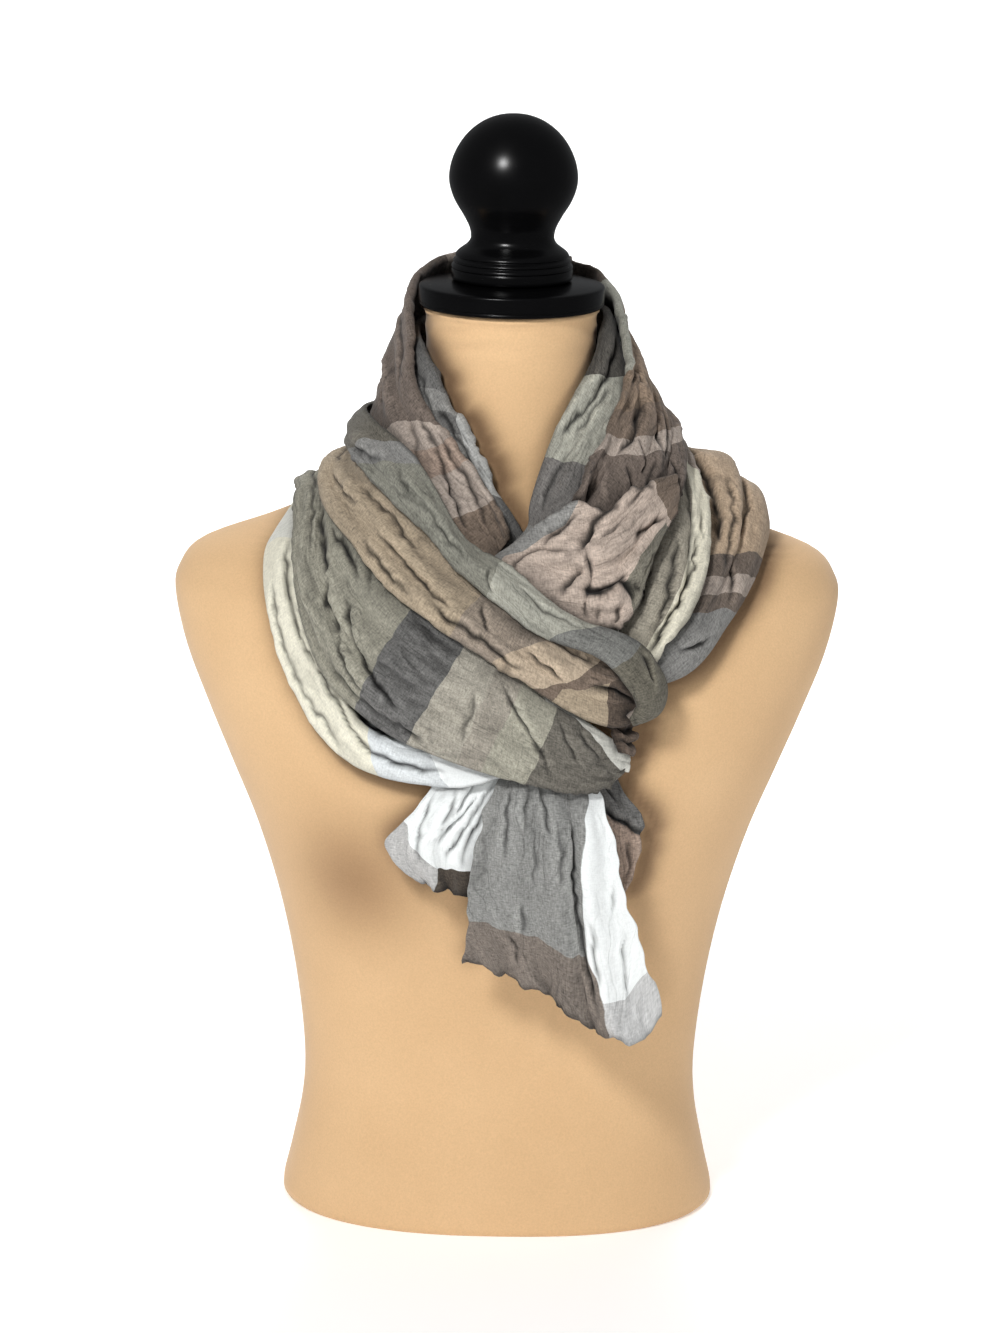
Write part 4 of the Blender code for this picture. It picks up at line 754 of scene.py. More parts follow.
def crinkle(run, side, seed):
    """Relief of crinkled gauze, about -1 to 1: long wandering valleys, short ridges and small puckers.

    Each noise is divided by the length and width of its cells in millimetres.
    """
    drift = noise(run / 70, side / 40, seed) * DRIFT + noise(run / 25, side / 16, seed + 1) * FINE_DRIFT
    long_pleat = pleat(noise(run / 90 + 7, (side + drift) / 13, seed + 2), *LONG_SLOPES) - PLEAT_MEAN
    cross_pleat = pleat(noise((run + 1.6 * side + drift) / 26, (side - 0.35 * run + drift) / 30, seed + 6),
                        *CROSS_SLOPES) - PLEAT_MEAN
    small_pleat = pleat(noise((run + drift) / 19, (side - 0.8 * drift) / 6.5, seed + 11),
                        *SMALL_SLOPES) - SMALL_MEAN
    short_ridge = RIDGE_MEAN - RIDGE_SLOPE * np.abs(
        noise((run + drift) / 17, (side + 0.6 * drift) / 5.2, seed + 3))
    pucker = noise(run / 4.6, side / 3.9, seed + 4)
    swell = noise(run / 30, side / 13, seed + 10)
    busy = ramp(BUSY_SHARE + BUSY_SWING * noise(run / 44, side / 27, seed + 5))
    pleats = (CALM_PLEATS + BUSY_PLEATS * busy) * (LONG_PLEAT * long_pleat + CROSS_PLEAT * cross_pleat)
    return pleats + SWELL * swell + (CALM_PUCKERS + BUSY_PUCKERS * busy) * (
        SMALL_PLEAT * small_pleat + SHORT_RIDGE * short_ridge + PUCKER * pucker)


# How far off, in widths, a crease is felt, and how its height swings along it, in cells of that length.
CREASE_REACH, CREASE_EVEN, CREASE_SWING, CREASE_CELL = 9, 0.85, 0.4, 10


def crease_height(creases, run, side, length, width):
    """How far the listed creases stand out, at places in millimetres along the band and from its middle.

    A trough is steep below a lip, where the cloth doubles over, and gentle on its other side; width is the
    band's width, row by row.
    """
    height = np.zeros(run.shape)
    run = run + WANDER * noise(run / WANDER_CELL, side / WANDER_CELL, 41)
    side = side + WANDER * noise(run / WANDER_CELL, side / WANDER_CELL, 42)
    for number, crease in enumerate(creases):
        along, across = crease.path.T
        wide = np.interp(along, np.linspace(0, 1, len(width)), width)
        knots = np.stack([along * length, (across - 0.5) * wide], -1)
        line = smooth_rows(knots, np.linspace(0, len(knots) - 1, (len(knots) - 1) * CREASE_STEPS + 1))
        reach = CREASE_REACH * crease.width
        near = (run[:, 0] > line[:, 0].min() - reach) & (run[:, 0] < line[:, 0].max() + reach)
        x, y = run[near], side[near]
        away, place, below = np.full(x.shape, FAR), np.zeros(x.shape), np.zeros(x.shape)
        gone = 0.0
        for start, end in zip(line[:-1], line[1:]):
            step = np.maximum(np.hypot(*(end - start)), TINY)
            ahead = (end - start) / step
            along_it = np.clip((x - start[0]) * ahead[0] + (y - start[1]) * ahead[1], 0, step)
            distance = np.hypot(x - start[0] - along_it * ahead[0], y - start[1] - along_it * ahead[1])
            nearer = distance < away
            away = np.where(nearer, distance, away)
            place = np.where(nearer, gone + along_it, place)
            below = np.where(nearer, (y - start[1]) * ahead[0] - (x - start[0]) * ahead[1], below)
            gone += step
        taper = min(TAPER, 0.45 * gone)
        fade = ramp((place + END_SLACK) / taper) * ramp((gone - place + END_SLACK) / taper)
        fade = fade * (CREASE_EVEN + CREASE_SWING * noise(place / CREASE_CELL, place * 0 + 5.3 * number, 43))
        shape = np.exp(-(away / crease.width) ** 1.5)
        if crease.height < 0:
            widths = away / crease.width
            lip = min(LIP, HIGHEST_LIP / -crease.height)
            doubled = shape - lip * (1 - np.exp(-widths ** 2)) * np.exp(-(widths / LIP_WIDTHS) ** 1.6)
            shape = np.where(below < 0, doubled, np.exp(-(widths / GENTLE_WIDTHS) ** 1.4))
        height[near] += crease.height * fade * shape
    return height


def painted_light_by_relief(relief, darkening):
    """Painted shade and light: the share of its colour that each point keeps, less in a hollow, more on a
    ridge.
    """
    narrow, broad = (relief - spread(relief, passes, False) for passes in (FINE_BLUR, BROAD_BLUR))
    return np.clip(np.exp((narrow + BROAD_SHARE * broad) * darkening), DARKEST, LIGHTEST)


def settle(grid, turned_first, turned_last, tree):
    """Move a finished cloth out wherever it dips into what lies beneath it."""
    for _ in range(FINE_PASSES):
        core = edge_to_core(feel(grid, [tree], REACH) + GAUZE / 2 + AIR, turned_first, turned_last)
        offset = np.maximum(core, 0)
        offset = np.maximum(spread(spread(offset, 1, True), 2, False), offset)
        grid = moved_out(grid, offset, turned_first, turned_last)
    return grid


def read_across(core, share):
    """A band's points read again at other shares of its width, row by row."""
    place = share * (core.shape[1] - 1)
    low = np.clip(place.astype(int), 0, core.shape[1] - 2)
    part = (place - low)[..., None]
    row = np.arange(len(core))[:, None]
    return core[row, low] * (1 - part) + core[row, low + 1] * part


def shaded_edges(shade, first, last, hemmed, grid):
    """The light kept over a whole grid, as painted shade: less round its turned edges and along a hem."""
    full = np.pad(shade, ((0, 0), (first, last)), "edge")
    # painted shade on the undersides of the turned edges
    full[:, :first] *= np.linspace(UNDERSIDE, 1, first, endpoint=False)
    full[:, full.shape[1] - last:] *= np.linspace(1, UNDERSIDE, last + 1)[1:]
    # painted shade along the curled edge of a hem, stronger in some places than others
    if hemmed:
        gaps = np.linalg.norm(np.diff(grid, axis=0), axis=2)
        away = np.concatenate([np.cumsum(gaps[::-1], axis=0)[::-1], np.zeros((1, gaps.shape[1]))])
        columns = np.arange(gaps.shape[1])
        uneven = HEM_LINE_SWING * noise(columns / HEM_LINE_CELL, columns * 0 + 4.3, 51)
        hem_line_share = np.clip(HEM_LINE_MEAN + uneven, HEM_LINE_LEAST, 1)
        full *= 1 - (1 - HEM_LINE) * np.exp(-(away / HEM_REACH) ** 2) * hem_line_share
    return full


def away_from(lines, points):
    """How far each point is from the nearest of some lines of points."""
    tree = KDTree(sum(len(line) for line in lines))
    for index, point in enumerate(np.concatenate(lines).tolist()):
        tree.insert(point, index)
    tree.balance()
    return np.array([tree.find(point)[2] for point in points.tolist()])


def painted_contact_shadow(piece, over):
    """Painted shadow: the light kept by a piece near the edges of those that lie over it."""
    away = away_from(over, piece.grid.reshape(-1, 3)).reshape(piece.shade.shape)
    return piece.shade * (1 - CONTACT * np.exp(-(away / CONTACT_REACH) ** 2)) * (
        1 - NEAR * np.exp(-(away / NEAR_REACH) ** 2))


def fray(core, look, u, v, near, run, side, share):
    """Let a hanging end's hem drop and hang raggedly and its sides waver, in place; near is 1 at the hem."""
    places, drops = np.array(look.hang).T
    core[..., 2] -= near ** 3 * np.interp(share, places / 100, drops)
    ragged = noise(side / 12, run * 0 + 3, look.seed + 7) + FINE_RAG * noise(
        side / 4.3, run * 0 + 8, look.seed + 7)
    core[..., 2] += near ** 2 * HEM_RAG * (4 * v * (1 - v))[None, :] ** 0.5 * ragged
    for edge in (0, -1):
        inward = unit(core[:, core.shape[1] // 2] - core[:, edge])
        fade = np.abs(v - (1 + edge))[None, :, None] ** 6
        steady = (1 - CORNER_STEADY * ramp((u - CORNER_BEGINS) / CORNER_LENGTH))[:, None, None]
        core += inward[:, None] * fade * steady * (SIDE_RAG * look.rag * noise(
            run[:, :1] / (9 + 3 * look.rag), 5.0 + edge, look.seed + 8))[..., None]


Piece = namedtuple("Piece", "grid run share side across shade")


def finish_stretch(part, laid, laid_first, laid_last, look, columns, start, tree):
    """A stretch read finely on its laid solid, creased, crinkled, edged and settled."""
    core = laid[:, laid_first:laid.shape[1] - laid_last]
    length = np.linalg.norm(np.diff(core.mean(axis=1), axis=0), axis=1).sum()
    rows = max(int(round(length / STEP)), 8)
    core = resample(core, rows, columns)
    width = np.linalg.norm(np.diff(core, axis=1), axis=2).sum(axis=1)
    u, v = np.linspace(0, 1, rows), np.linspace(0, 1, columns)
    run = np.repeat(u[:, None] * length, columns, 1)
    places, firsts, lasts = look.trim.T
    first_share, last_share = np.interp(u, places, firsts)[:, None], np.interp(u, places, lasts)[:, None]
    share = first_share + (last_share - first_share) * v
    core = read_across(core, share)
    side = (share - 0.5) * width[:, None]
    if part.ruffle:
        near = ramp((u - HEM_BEGINS) / (1 - HEM_BEGINS))[:, None]
        fray(core, look, u, v, near, run, side, share)
    calm = EDGE_CALM + (1 - EDGE_CALM) * ramp(v * (1 - v) * EDGE_RISE)[None, :]
    creased = crease_height(look.creases, run, side, length, width)
    crinkled = look.crinkle * calm * crinkle(run + start, side, look.seed)
    # painted shade in the hollows of creases and crinkle, painted light on their ridges
    shade = painted_light_by_relief(creased, CREASE_DARK) * painted_light_by_relief(crinkled, CRINKLE_DARK)
    relief = creased + crinkled
    if part.ruffle:
        relief = relief + near ** 3 * HEM_CURL * noise(side / 8, run / 16, look.seed + 9)
    core = core + surface_normals(core) * (relief + LOFT)[..., None]
    normal = surface_normals(core)
    down_first = unit(core[:, 3] - core[:, 0])
    down_last = unit(core[:, -1] - core[:, -4])
    grid, first, last = with_edges(core, down_first, down_last, normal[:, 0], normal[:, -1], part, EDGE_STEPS)
    grid = settle(grid, first, last, tree)
    steps = np.linalg.norm(np.diff(grid, axis=1), axis=2)
    beyond_first = np.cumsum(steps[:, :first][:, ::-1], axis=1)[:, ::-1]
    beyond_last = np.cumsum(steps[:, steps.shape[1] - last:], axis=1)
    half = width[:, None] / 2
    side = np.concatenate([side[:, :1] - beyond_first, side, side[:, -1:] + beyond_last], axis=1)
    run = np.repeat((u * length + start)[:, None], grid.shape[1], 1)
    return Piece(grid, run, length, side, (side + half) / (2 * half),
                 shaded_edges(shade, first, last, bool(part.ruffle), grid))


def joined(pieces):
    """The halves of one turn eased into each other and made one grid."""
    grids = [piece.grid.copy() for piece in pieces]
    for before, after in zip(grids[:-1], grids[1:]):
        meeting = (before[-1] + after[0]) / 2
        count = int(BLEND / STEP)
        ease = ramp(np.arange(1, count + 1) / count)[:, None, None]
        before[-count:] += (meeting - before[-1]) * ease
        after[:count] += (meeting - after[0]) * ease[::-1]
    keep = [slice(None)] + [slice(1, None)] * (len(pieces) - 1)
    groups = [grids] + [[getattr(piece, name) for piece in pieces]
                        for name in ("run", "side", "across", "shade")]
    return [np.concatenate([rows[part] for rows, part in zip(group, keep)]) for group in groups]


def grid_faces(rows, columns):
    """The quads over a grid of points, as rows of four indices."""
    index = np.arange(rows * columns).reshape(rows, columns)
    return np.stack([index[:-1, :-1], index[:-1, 1:], index[1:, 1:], index[1:, :-1]], -1).reshape(-1, 4)


def keep_shade(mesh, shade):
    """Keep the painted shade of each point of a mesh, the share of its colour that it keeps."""
    # the attribute called relief holds painted shade, not heights
    kept = mesh.attributes.new("relief", "FLOAT", "POINT")
    kept.data.foreach_set("value", shade.astype(np.float32).ravel())


def add_mesh(name, points, faces, maps=(), shade=None):
    """A smooth mesh object from points in millimetres, with named UV maps and the painted shade of its
    relief.
    """
    mesh = bpy.data.meshes.new(name)
    mesh.from_pydata((points * MM).tolist(), [], faces.tolist() if isinstance(faces, np.ndarray) else faces)
    corners = np.zeros(len(mesh.loops), dtype=np.int32)
    mesh.loops.foreach_get("vertex_index", corners)
    for title, values in maps:
        layer = mesh.uv_layers.new(name=title)
        layer.data.foreach_set("uv", values.reshape(-1, 2)[corners].astype(np.float32).ravel())
    if shade is not None:
        keep_shade(mesh, shade)
    mesh.update()
    mesh.shade_smooth()
    made = bpy.data.objects.new(name, mesh)
    bpy.context.scene.collection.objects.link(made)
    return made


TURN_SIDES = 96
FORM_SIDES, FORM_RINGS, NECK_RINGS = 208, 214, 72
WRINKLE, WRINKLE_LEVEL, WRINKLE_REACH = 0.9, 536.0, 12.0    # faint wrinkles near the top of the jersey's neck
HEM_ROLL, HEM_LEVEL, HEM_WIDTH = 1.5, 546.6, 1.3           # the jersey's rolled hem under the cap


# ------------------------------------------------------------------ the form and the cap
def form_points(rings, sides):
    """The form's rings read finely."""
    heights = [ring[0] for ring in FORM]
    levels = np.concatenate([np.linspace(0, NECK_FOOT, rings - NECK_RINGS, endpoint=False),
                             np.linspace(NECK_FOOT, heights[-1], NECK_RINGS)])
    shape = smooth_rows(FORM, np.interp(levels, heights, np.arange(len(FORM))))
    turn = np.linspace(0, 2 * math.pi, sides, endpoint=False)
    half, front, back, power = (shape[:, k, None] for k in (1, 2, 3, 4))
    across, deep = (np.sign(way) * np.abs(way) ** (2 / power) for way in (np.cos(turn), np.sin(turn)))
    level = np.repeat(shape[:, 0, None], sides, 1)
    tug = WRINKLE * np.exp(-((level - WRINKLE_LEVEL) / WRINKLE_REACH) ** 2) * noise(
        turn * 2.2 + level / 30, level / 5.5 + 3 * np.sin(turn), 31)
    rolled = HEM_ROLL * np.exp(-((level - HEM_LEVEL) / HEM_WIDTH) ** 2)
    stand = tug + rolled * (0.8 + 0.9 * noise(turn * 4.5, level * 0, 32))
    return np.stack([half * across + stand * np.cos(turn), np.where(deep > 0, back, front) * deep
                     + stand * np.sin(turn), level], -1)


def closed_faces(rows, columns):
    """Quads round a closed grid, with a fan to a middle point at each end."""
    faces = []
    for row in range(rows - 1):
        for column in range(columns):
            beside = (column + 1) % columns
            faces.append((row * columns + column, row * columns + beside,
                          (row + 1) * columns + beside, (row + 1) * columns + column))
    foot, head = rows * columns, rows * columns + 1
    for column in range(columns):
        beside = (column + 1) % columns
        faces.append((foot, beside, column))
        faces.append((head, (rows - 1) * columns + column, (rows - 1) * columns + beside))
    return faces


def turned_piece(name, outline, fine):
    """A turned piece: its outline made smooth and swept round the upright axis."""
    read = smooth_rows(outline, np.linspace(0, len(outline) - 1, (len(outline) - 1) * fine + 1))
    turn = np.linspace(0, 2 * math.pi, TURN_SIDES, endpoint=False)
    points = np.stack([read[:, 1, None] * np.cos(turn), read[:, 1, None] * np.sin(turn),
                       np.repeat(read[:, 0, None], TURN_SIDES, 1)], -1)
    ends = np.array([[0, 0, points[0, 0, 2]], [0, 0, points[-1, 0, 2]]])
    return add_mesh(name, np.concatenate([points.reshape(-1, 3), ends]), closed_faces(len(read), TURN_SIDES))


# ------------------------------------------------------------------ materials
PALE_CALM, PALE_SHADE_LIFT = 1.02, 0.55              # how calm a pale cloth's yarns are and how much lighter the painted shade in its hollows is
CLOUDS = 0.45                                  # how much of the yarns' contrast the dye's cloudiness has
LINE_SHADE, LINE_DEPTH, LINE_BEND = 0.32, 1.0, 0.022   # how dark the painted shade along the finest creases is, and how deep and bent they are
LINE_WIDTH, LINE_GAPS, LINE_SHARP = 0.055, 0.44, 7.0   # how wide they are, how rare and sharp their patches
WEAVE_CONTRAST = 1.25
SHADE_PATCH_PLACE, SHADE_PATCH_REACH, SHADE_PATCH_DEPTH = (-0.087, -0.09, 0.222), 0.041, 0.62    # a painted shade patch on the chest
BAND_WAVER, STRIPE_WAVER = 0.005, 0.003        # how far a woven edge wanders, in metres
STRIPE_SHARP = 200.0                           # how sharp the edge of a lengthwise stripe is
SCREEN_KNEE, SCREEN_SLOPE, SCREEN_STEP, SCREEN_POWER = 0.04045, 12.92, 0.055, 2.4


def screen(red, green, blue):
    """A shader colour from screen values of 0 to 255."""
    share = np.array([red, green, blue]) / 255
    linear = np.where(share <= SCREEN_KNEE, share / SCREEN_SLOPE,
                      ((share + SCREEN_STEP) / (1 + SCREEN_STEP)) ** SCREEN_POWER)
    return (*linear, 1.0)


YARN = {
    "brown_taupe": (106, 95, 87), "mauve": (158, 146, 136), "taupe": (98, 94, 85),
    "mid_slate": (116, 116, 112), "warm_slate": (108, 105, 102), "mid_brown": (142, 130, 117),
    "sage": (140, 137, 124), "rose": (172, 157, 145), "dull_tan": (128, 111, 95),
    "loop_olive": (100, 96, 85), "dark_slate": (77, 74, 69), "green_grey": (124, 123, 113),
    "blue_grey": (127, 126, 123), "pale_green": (156, 155, 144), "slate": (98, 97, 95),
    "tan": (160, 145, 124), "light_tan": (178, 161, 140), "brown": (112, 98, 86),
    "light_taupe": (158, 153, 141), "mid_taupe": (146, 140, 129), "light_green": (154, 151, 137),
    "charcoal": (104, 100, 92), "cream": (221, 217, 199), "pale_blue": (208, 212, 213),
    "white": (236, 239, 238), "panel_grey": (139, 139, 136), "hem_brown": (122, 113, 105),
    "hem_grey": (196, 196, 195), "rear_tan": (164, 144, 122), "rear_brown": (104, 93, 84),
    "mauve_brown": (149, 131, 118), "dark_brown": (90, 78, 68), "gather_brown": (92, 79, 69),
    # shaded_cream is the cream darkened with painted shade
    "shaded_cream": (207, 202, 184), "gusset_grey": (182, 181, 179), "deep_olive": (112, 108, 97),
    "curl_brown": (78, 70, 62), "olive_grey": (142, 136, 123), "pale_hem": (212, 211, 202),
    "grey_hem": (168, 168, 165),
}
JERSEY, JERSEY_SHADE = (229, 192, 147), (214, 176, 131)
# the colours of the painted shade patch on the chest and of the painted shadow beside the cloth
JERSEY_SHADE_PATCH, JERSEY_SHADOW = (120, 84, 52), (72, 45, 24)


class Signal:
    """A shader value that changes over a surface, with plain arithmetic."""

    def __init__(self, tree, socket):
        self.tree = tree
        self.socket = socket

    def step(self, operation, first, second=0.5):
        """One arithmetic step on signals or numbers."""
        made = self.tree.nodes.new("ShaderNodeMath")
        made.operation = operation
        plug(self.tree, first, made.inputs[0])
        plug(self.tree, second, made.inputs[1])
        return Signal(self.tree, made.outputs[0])

    def __add__(self, other):
        return self.step("ADD", self, other)

    def __sub__(self, other):
        return self.step("SUBTRACT", self, other)

    def __rsub__(self, other):
        return self.step("SUBTRACT", other, self)

    def __mul__(self, other):
        return self.step("MULTIPLY", self, other)

    def __truediv__(self, other):
        return self.step("DIVIDE", self, other)

    def __pow__(self, other):
        return self.step("POWER", self, other)

    def __rpow__(self, other):
        return self.step("POWER", other, self)

    def __abs__(self):
        return self.step("ABSOLUTE", self)

    def clamped(self):
        """The value kept between 0 and 1."""
        return Signal(self.tree, node(self.tree, "ShaderNodeClamp", _0=self).outputs[0])


def plug(tree, value, socket):
    """Feed a socket with a number or colour, or with a signal or another socket."""
    if isinstance(value, Signal):
        tree.links.new(value.socket, socket)
    elif isinstance(value, bpy.types.NodeSocket):
        tree.links.new(value, socket)
    else:
        socket.default_value = value


def node(tree, kind, **values):
    """Add a shader node and feed its sockets by name or number."""
    made = tree.nodes.new(kind)
    for key, value in values.items():
        plug(tree, value, made.inputs[int(key[1:]) if key[0] == "_" else key.replace("_", " ")])
    return made


def new_material(name, **values):
    """A new material, its shader tree, and its main shader with plain values set by name."""
    made = bpy.data.materials.new(name)
    made.use_nodes = True
    shader = made.node_tree.nodes["Principled BSDF"]
    for key, value in values.items():
        shader.inputs[key.replace("_", " ")].default_value = value
    return made, made.node_tree, shader


def add_bump(tree, shader, height, strength, distance):
    """Fine relief on a shader, from a height."""
    bump = node(tree, "ShaderNodeBump", Strength=strength, Distance=distance, Height=height)
    plug(tree, bump.outputs[0], shader.inputs["Normal"])


def mix_colours(tree, share, first, second, blend="MIX"):
    """Mix two colours; share, first and second are sockets or values."""
    made = tree.nodes.new("ShaderNodeMix")
    made.data_type = "RGBA"
    made.blend_type = blend
    for place, value in ((0, share), (6, first), (7, second)):
        plug(tree, value, made.inputs[place])
    return made.outputs[2]


def axes_of(tree, place):
    """The first two coordinates of a place, as signals."""
    axes = node(tree, "ShaderNodeSeparateXYZ", _0=place)
    return Signal(tree, axes.outputs[0]), Signal(tree, axes.outputs[1])


def painted_shade_attribute(tree):
    """The painted shade: the share of its colour that the surface keeps, point by point."""
    made = tree.nodes.new("ShaderNodeAttribute")
    # the attribute called relief holds the painted shade
    made.attribute_name = "relief"
    return made.outputs["Fac"]


def stretched_noise(tree, u, v, per_metre_u, per_metre_v, layer, detail=1.0):
    """Noise along a cloth's own axes, with its own number of cells a metre each way."""
    place = node(tree, "ShaderNodeCombineXYZ", _0=u * per_metre_u, _1=v * per_metre_v, _2=layer)
    made = node(tree, "ShaderNodeTexNoise", Scale=1.0, Detail=detail, Roughness=0.6, Vector=place.outputs[0])
    return Signal(tree, made.outputs[0])


def crease_line(tree, u, v, per_metre_u, per_metre_v, layer):
    """Fine wandering lines, 1 along a line and 0 beside it, in patches."""
    field = stretched_noise(tree, u, v, per_metre_u, per_metre_v, layer, 0.0)
    line = 1.0 - abs(field - 0.5) / LINE_WIDTH
    patch = (stretched_noise(tree, u, v, 26, 34, layer + 1, 0.0) - LINE_GAPS) * LINE_SHARP
    return line.clamped() * patch.clamped()


def new_group(name, inputs, outputs):
    """A shader node group with named sockets, and its input and output nodes."""
    tree = bpy.data.node_groups.new(name, "ShaderNodeTree")
    for title, kind in inputs:
        tree.interface.new_socket(title, in_out="INPUT", socket_type=kind)
    for title, kind in outputs:
        tree.interface.new_socket(title, in_out="OUTPUT", socket_type=kind)
    return tree, tree.nodes.new("NodeGroupInput"), tree.nodes.new("NodeGroupOutput")


def gauze_yarns():
    """Group: slubby warp and weft yarns of a loose plain weave over a dyed colour, with painted shade in
    hollows and along the finest creases.
    """
    tree, given, out = new_group("gauze_yarns", [
        ("Dye", "NodeSocketColor"), ("Place", "NodeSocketVector"), ("Contrast", "NodeSocketFloat"),
        ("Relief", "NodeSocketFloat")], [
        ("Colour", "NodeSocketColor"), ("Height", "NodeSocketFloat")])
    dye = given.outputs["Dye"]
    # Relief carries the surface's painted shade, not its heights
    relief = Signal(tree, given.outputs["Relief"])
    u, v = axes_of(tree, given.outputs["Place"])
    yarns = stretched_noise(tree, u, v, 260, 1150, 1.0) + stretched_noise(tree, u, v, 1150, 260, 4.0)
    slub = stretched_noise(tree, u, v, 900, 900, 7.0, 2.0)
    cloudy = stretched_noise(tree, u, v, 38, 60, 9.0, 2.0)
    bright = Signal(tree, node(tree, "ShaderNodeRGBToBW", _0=dye).outputs[0])
    contrast = Signal(tree, given.outputs["Contrast"]) * (1.0 - bright * PALE_CALM)
    swing = (yarns + slub - 1.5) * contrast + (cloudy - 0.5) * (contrast * CLOUDS)
    bend = (stretched_noise(tree, u, v, 30, 45, 13.0, 2.0) - 0.5) * LINE_BEND
    lines = crease_line(tree, u, v + bend, 22, 120, 15.0)
    # painted shade in hollows, lighter on pale cloth, and painted shade along the finest creases
    hollow = (relief - 1.0) * (1.0 - bright * PALE_SHADE_LIFT * relief)
    level = (swing + 1.0) * (hollow + 1.0) * (1.0 - lines * (contrast * LINE_SHADE))
    shade = node(tree, "ShaderNodeCombineXYZ", _0=level, _1=level, _2=level)
    plug(tree, mix_colours(tree, 1.0, dye, shade.outputs[0], "MULTIPLY"), out.inputs["Colour"])
    plug(tree, yarns - lines * LINE_DEPTH, out.inputs["Height"])
    return tree


def colour_bands(tree, place, rows):
    """A ramp of dyed bands: rows of a start and a yarn colour."""
    made = node(tree, "ShaderNodeValToRGB", _0=place)
    made.color_ramp.interpolation = "CONSTANT"
    stops = made.color_ramp.elements
    while len(stops) < len(rows):
        stops.new(1.0)
    for stop, (start, yarn) in zip(stops, rows):
        stop.position = start
        stop.color = screen(*YARN[yarn])
    return made.outputs[0]


def gauze_material(cloth, length):
    """Crinkled yarn-dyed gauze: bands across the cloth, a stripe along it, painted shade in hollows by their
    depth.
    """
    made, tree, shader = new_material(cloth.name + "_gauze", Roughness=0.92, Specular_IOR_Level=0.25,
                                      Sheen_Weight=0.08, Sheen_Roughness=0.6)
    yarns = tree.nodes.new("ShaderNodeUVMap")
    yarns.uv_map = "yarns"
    blocks = tree.nodes.new("ShaderNodeUVMap")
    blocks.uv_map = "blocks"
    bent, inside = axes_of(tree, blocks.outputs[0])
    run, side = axes_of(tree, yarns.outputs[0])
    waver = stretched_noise(tree, run, side, 45, 70, cloth.seed, 2.0) - 0.5
    dye = colour_bands(tree, bent + waver * (BAND_WAVER / cloth.flat[1]), cloth.bands)
    if cloth.stripe:
        striped = ((inside + waver * (STRIPE_WAVER / cloth.flat[0])) * STRIPE_SHARP).clamped()
        dye = mix_colours(tree, striped, dye, colour_bands(tree, run * (1 / length), cloth.stripe.bands))
    weave = tree.nodes.new("ShaderNodeGroup")
    weave.node_tree = GAUZE_YARNS
    for key, value in (("Dye", dye), ("Place", yarns.outputs[0]), ("Contrast", WEAVE_CONTRAST),
                       ("Relief", painted_shade_attribute(tree))):
        plug(tree, value, weave.inputs[key])
    plug(tree, weave.outputs["Colour"], shader.inputs["Base Color"])
    add_bump(tree, shader, weave.outputs["Height"], 0.5, 0.0005)
    return made


def jersey_material():
    """Fine skin-toned jersey, faintly mottled, with a painted shade patch on the chest and painted shadow
    beside the cloth.
    """
    made, tree, shader = new_material("jersey_cover", Roughness=0.85, Specular_IOR_Level=0.3,
                                      Sheen_Weight=0.15, Sheen_Roughness=0.5)
    place = tree.nodes.new("ShaderNodeTexCoord").outputs["Object"]
    broad = node(tree, "ShaderNodeTexNoise", Scale=14.0, Detail=3.0, Roughness=0.55, Vector=place)
    grain = node(tree, "ShaderNodeTexNoise", Scale=900.0, Detail=1.0, Roughness=0.5, Vector=place)
    colour = mix_colours(tree, broad.outputs[0], screen(*JERSEY), screen(*JERSEY_SHADE))
    away = node(tree, "ShaderNodeVectorMath", _0=place, _1=SHADE_PATCH_PLACE)
    away.operation = "DISTANCE"
    # a painted shade patch on the chest
    shade_patch = 2.718 ** ((Signal(tree, away.outputs["Value"]) / SHADE_PATCH_REACH) ** 2.0 * -1.0) * SHADE_PATCH_DEPTH
    colour = mix_colours(tree, shade_patch, colour, screen(*JERSEY_SHADE_PATCH))
    speck = mix_colours(tree, grain.outputs[0], (0.9, 0.9, 0.9, 1), (1.1, 1.1, 1.1, 1))
    # the form's painted shadow beside the cloth, toward a deep brown
    painted_shadow_tint = mix_colours(tree, painted_shade_attribute(tree), screen(*JERSEY_SHADOW), (1.0, 1.0, 1.0, 1))
    colour = mix_colours(tree, 1.0, colour, painted_shadow_tint, "MULTIPLY")
    plug(tree, mix_colours(tree, 1.0, colour, speck, "MULTIPLY"), shader.inputs["Base Color"])
    add_bump(tree, shader, grain.outputs[0], 0.25, 0.0004)
    return made


def lacquer_material():
    """Black gloss lacquer over turned wood, with the faint unevenness of a brushed coat."""
    made, tree, shader = new_material("black_lacquer", Specular_IOR_Level=0.22)
    place = tree.nodes.new("ShaderNodeTexCoord").outputs["Object"]
    wave = node(tree, "ShaderNodeTexNoise", Scale=55.0, Detail=2.0, Roughness=0.5, Vector=place).outputs[0]
    plug(tree, mix_colours(tree, wave, (0.0012, 0.0012, 0.0014, 1), (0.0025, 0.0025, 0.0028, 1)),
         shader.inputs["Base Color"])
    plug(tree, Signal(tree, wave) * 0.1 + 0.19, shader.inputs["Roughness"])
    add_bump(tree, shader, wave, 0.06, 0.0008)
    return made


GAUZE_YARNS = gauze_yarns()

# ------------------------------------------------------------------ build
form = form_points(FORM_RINGS, FORM_SIDES)
form_ends = np.array([[0, 0, form[0, 0, 2]], [0, 0, form[-1, 0, 2]]])
form_shape = np.concatenate([form.reshape(-1, 3), form_ends])
form_faces = closed_faces(FORM_RINGS, FORM_SIDES)
form_skin = add_mesh("form_jersey", form_shape, form_faces)
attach(form_skin, "root")
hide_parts("form_body")
form_skin.data.materials.append(jersey_material())

finial = turned_piece("cap_finial_turned", FINIAL, 4)
disc = turned_piece("cap_disc_turned", DISC, 3)
lacquer = lacquer_material()
for made, solid in ((finial, "cap_finial"), (disc, "cap_disc")):
    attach(made, "root")
    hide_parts(solid)
    made.data.materials.append(lacquer)

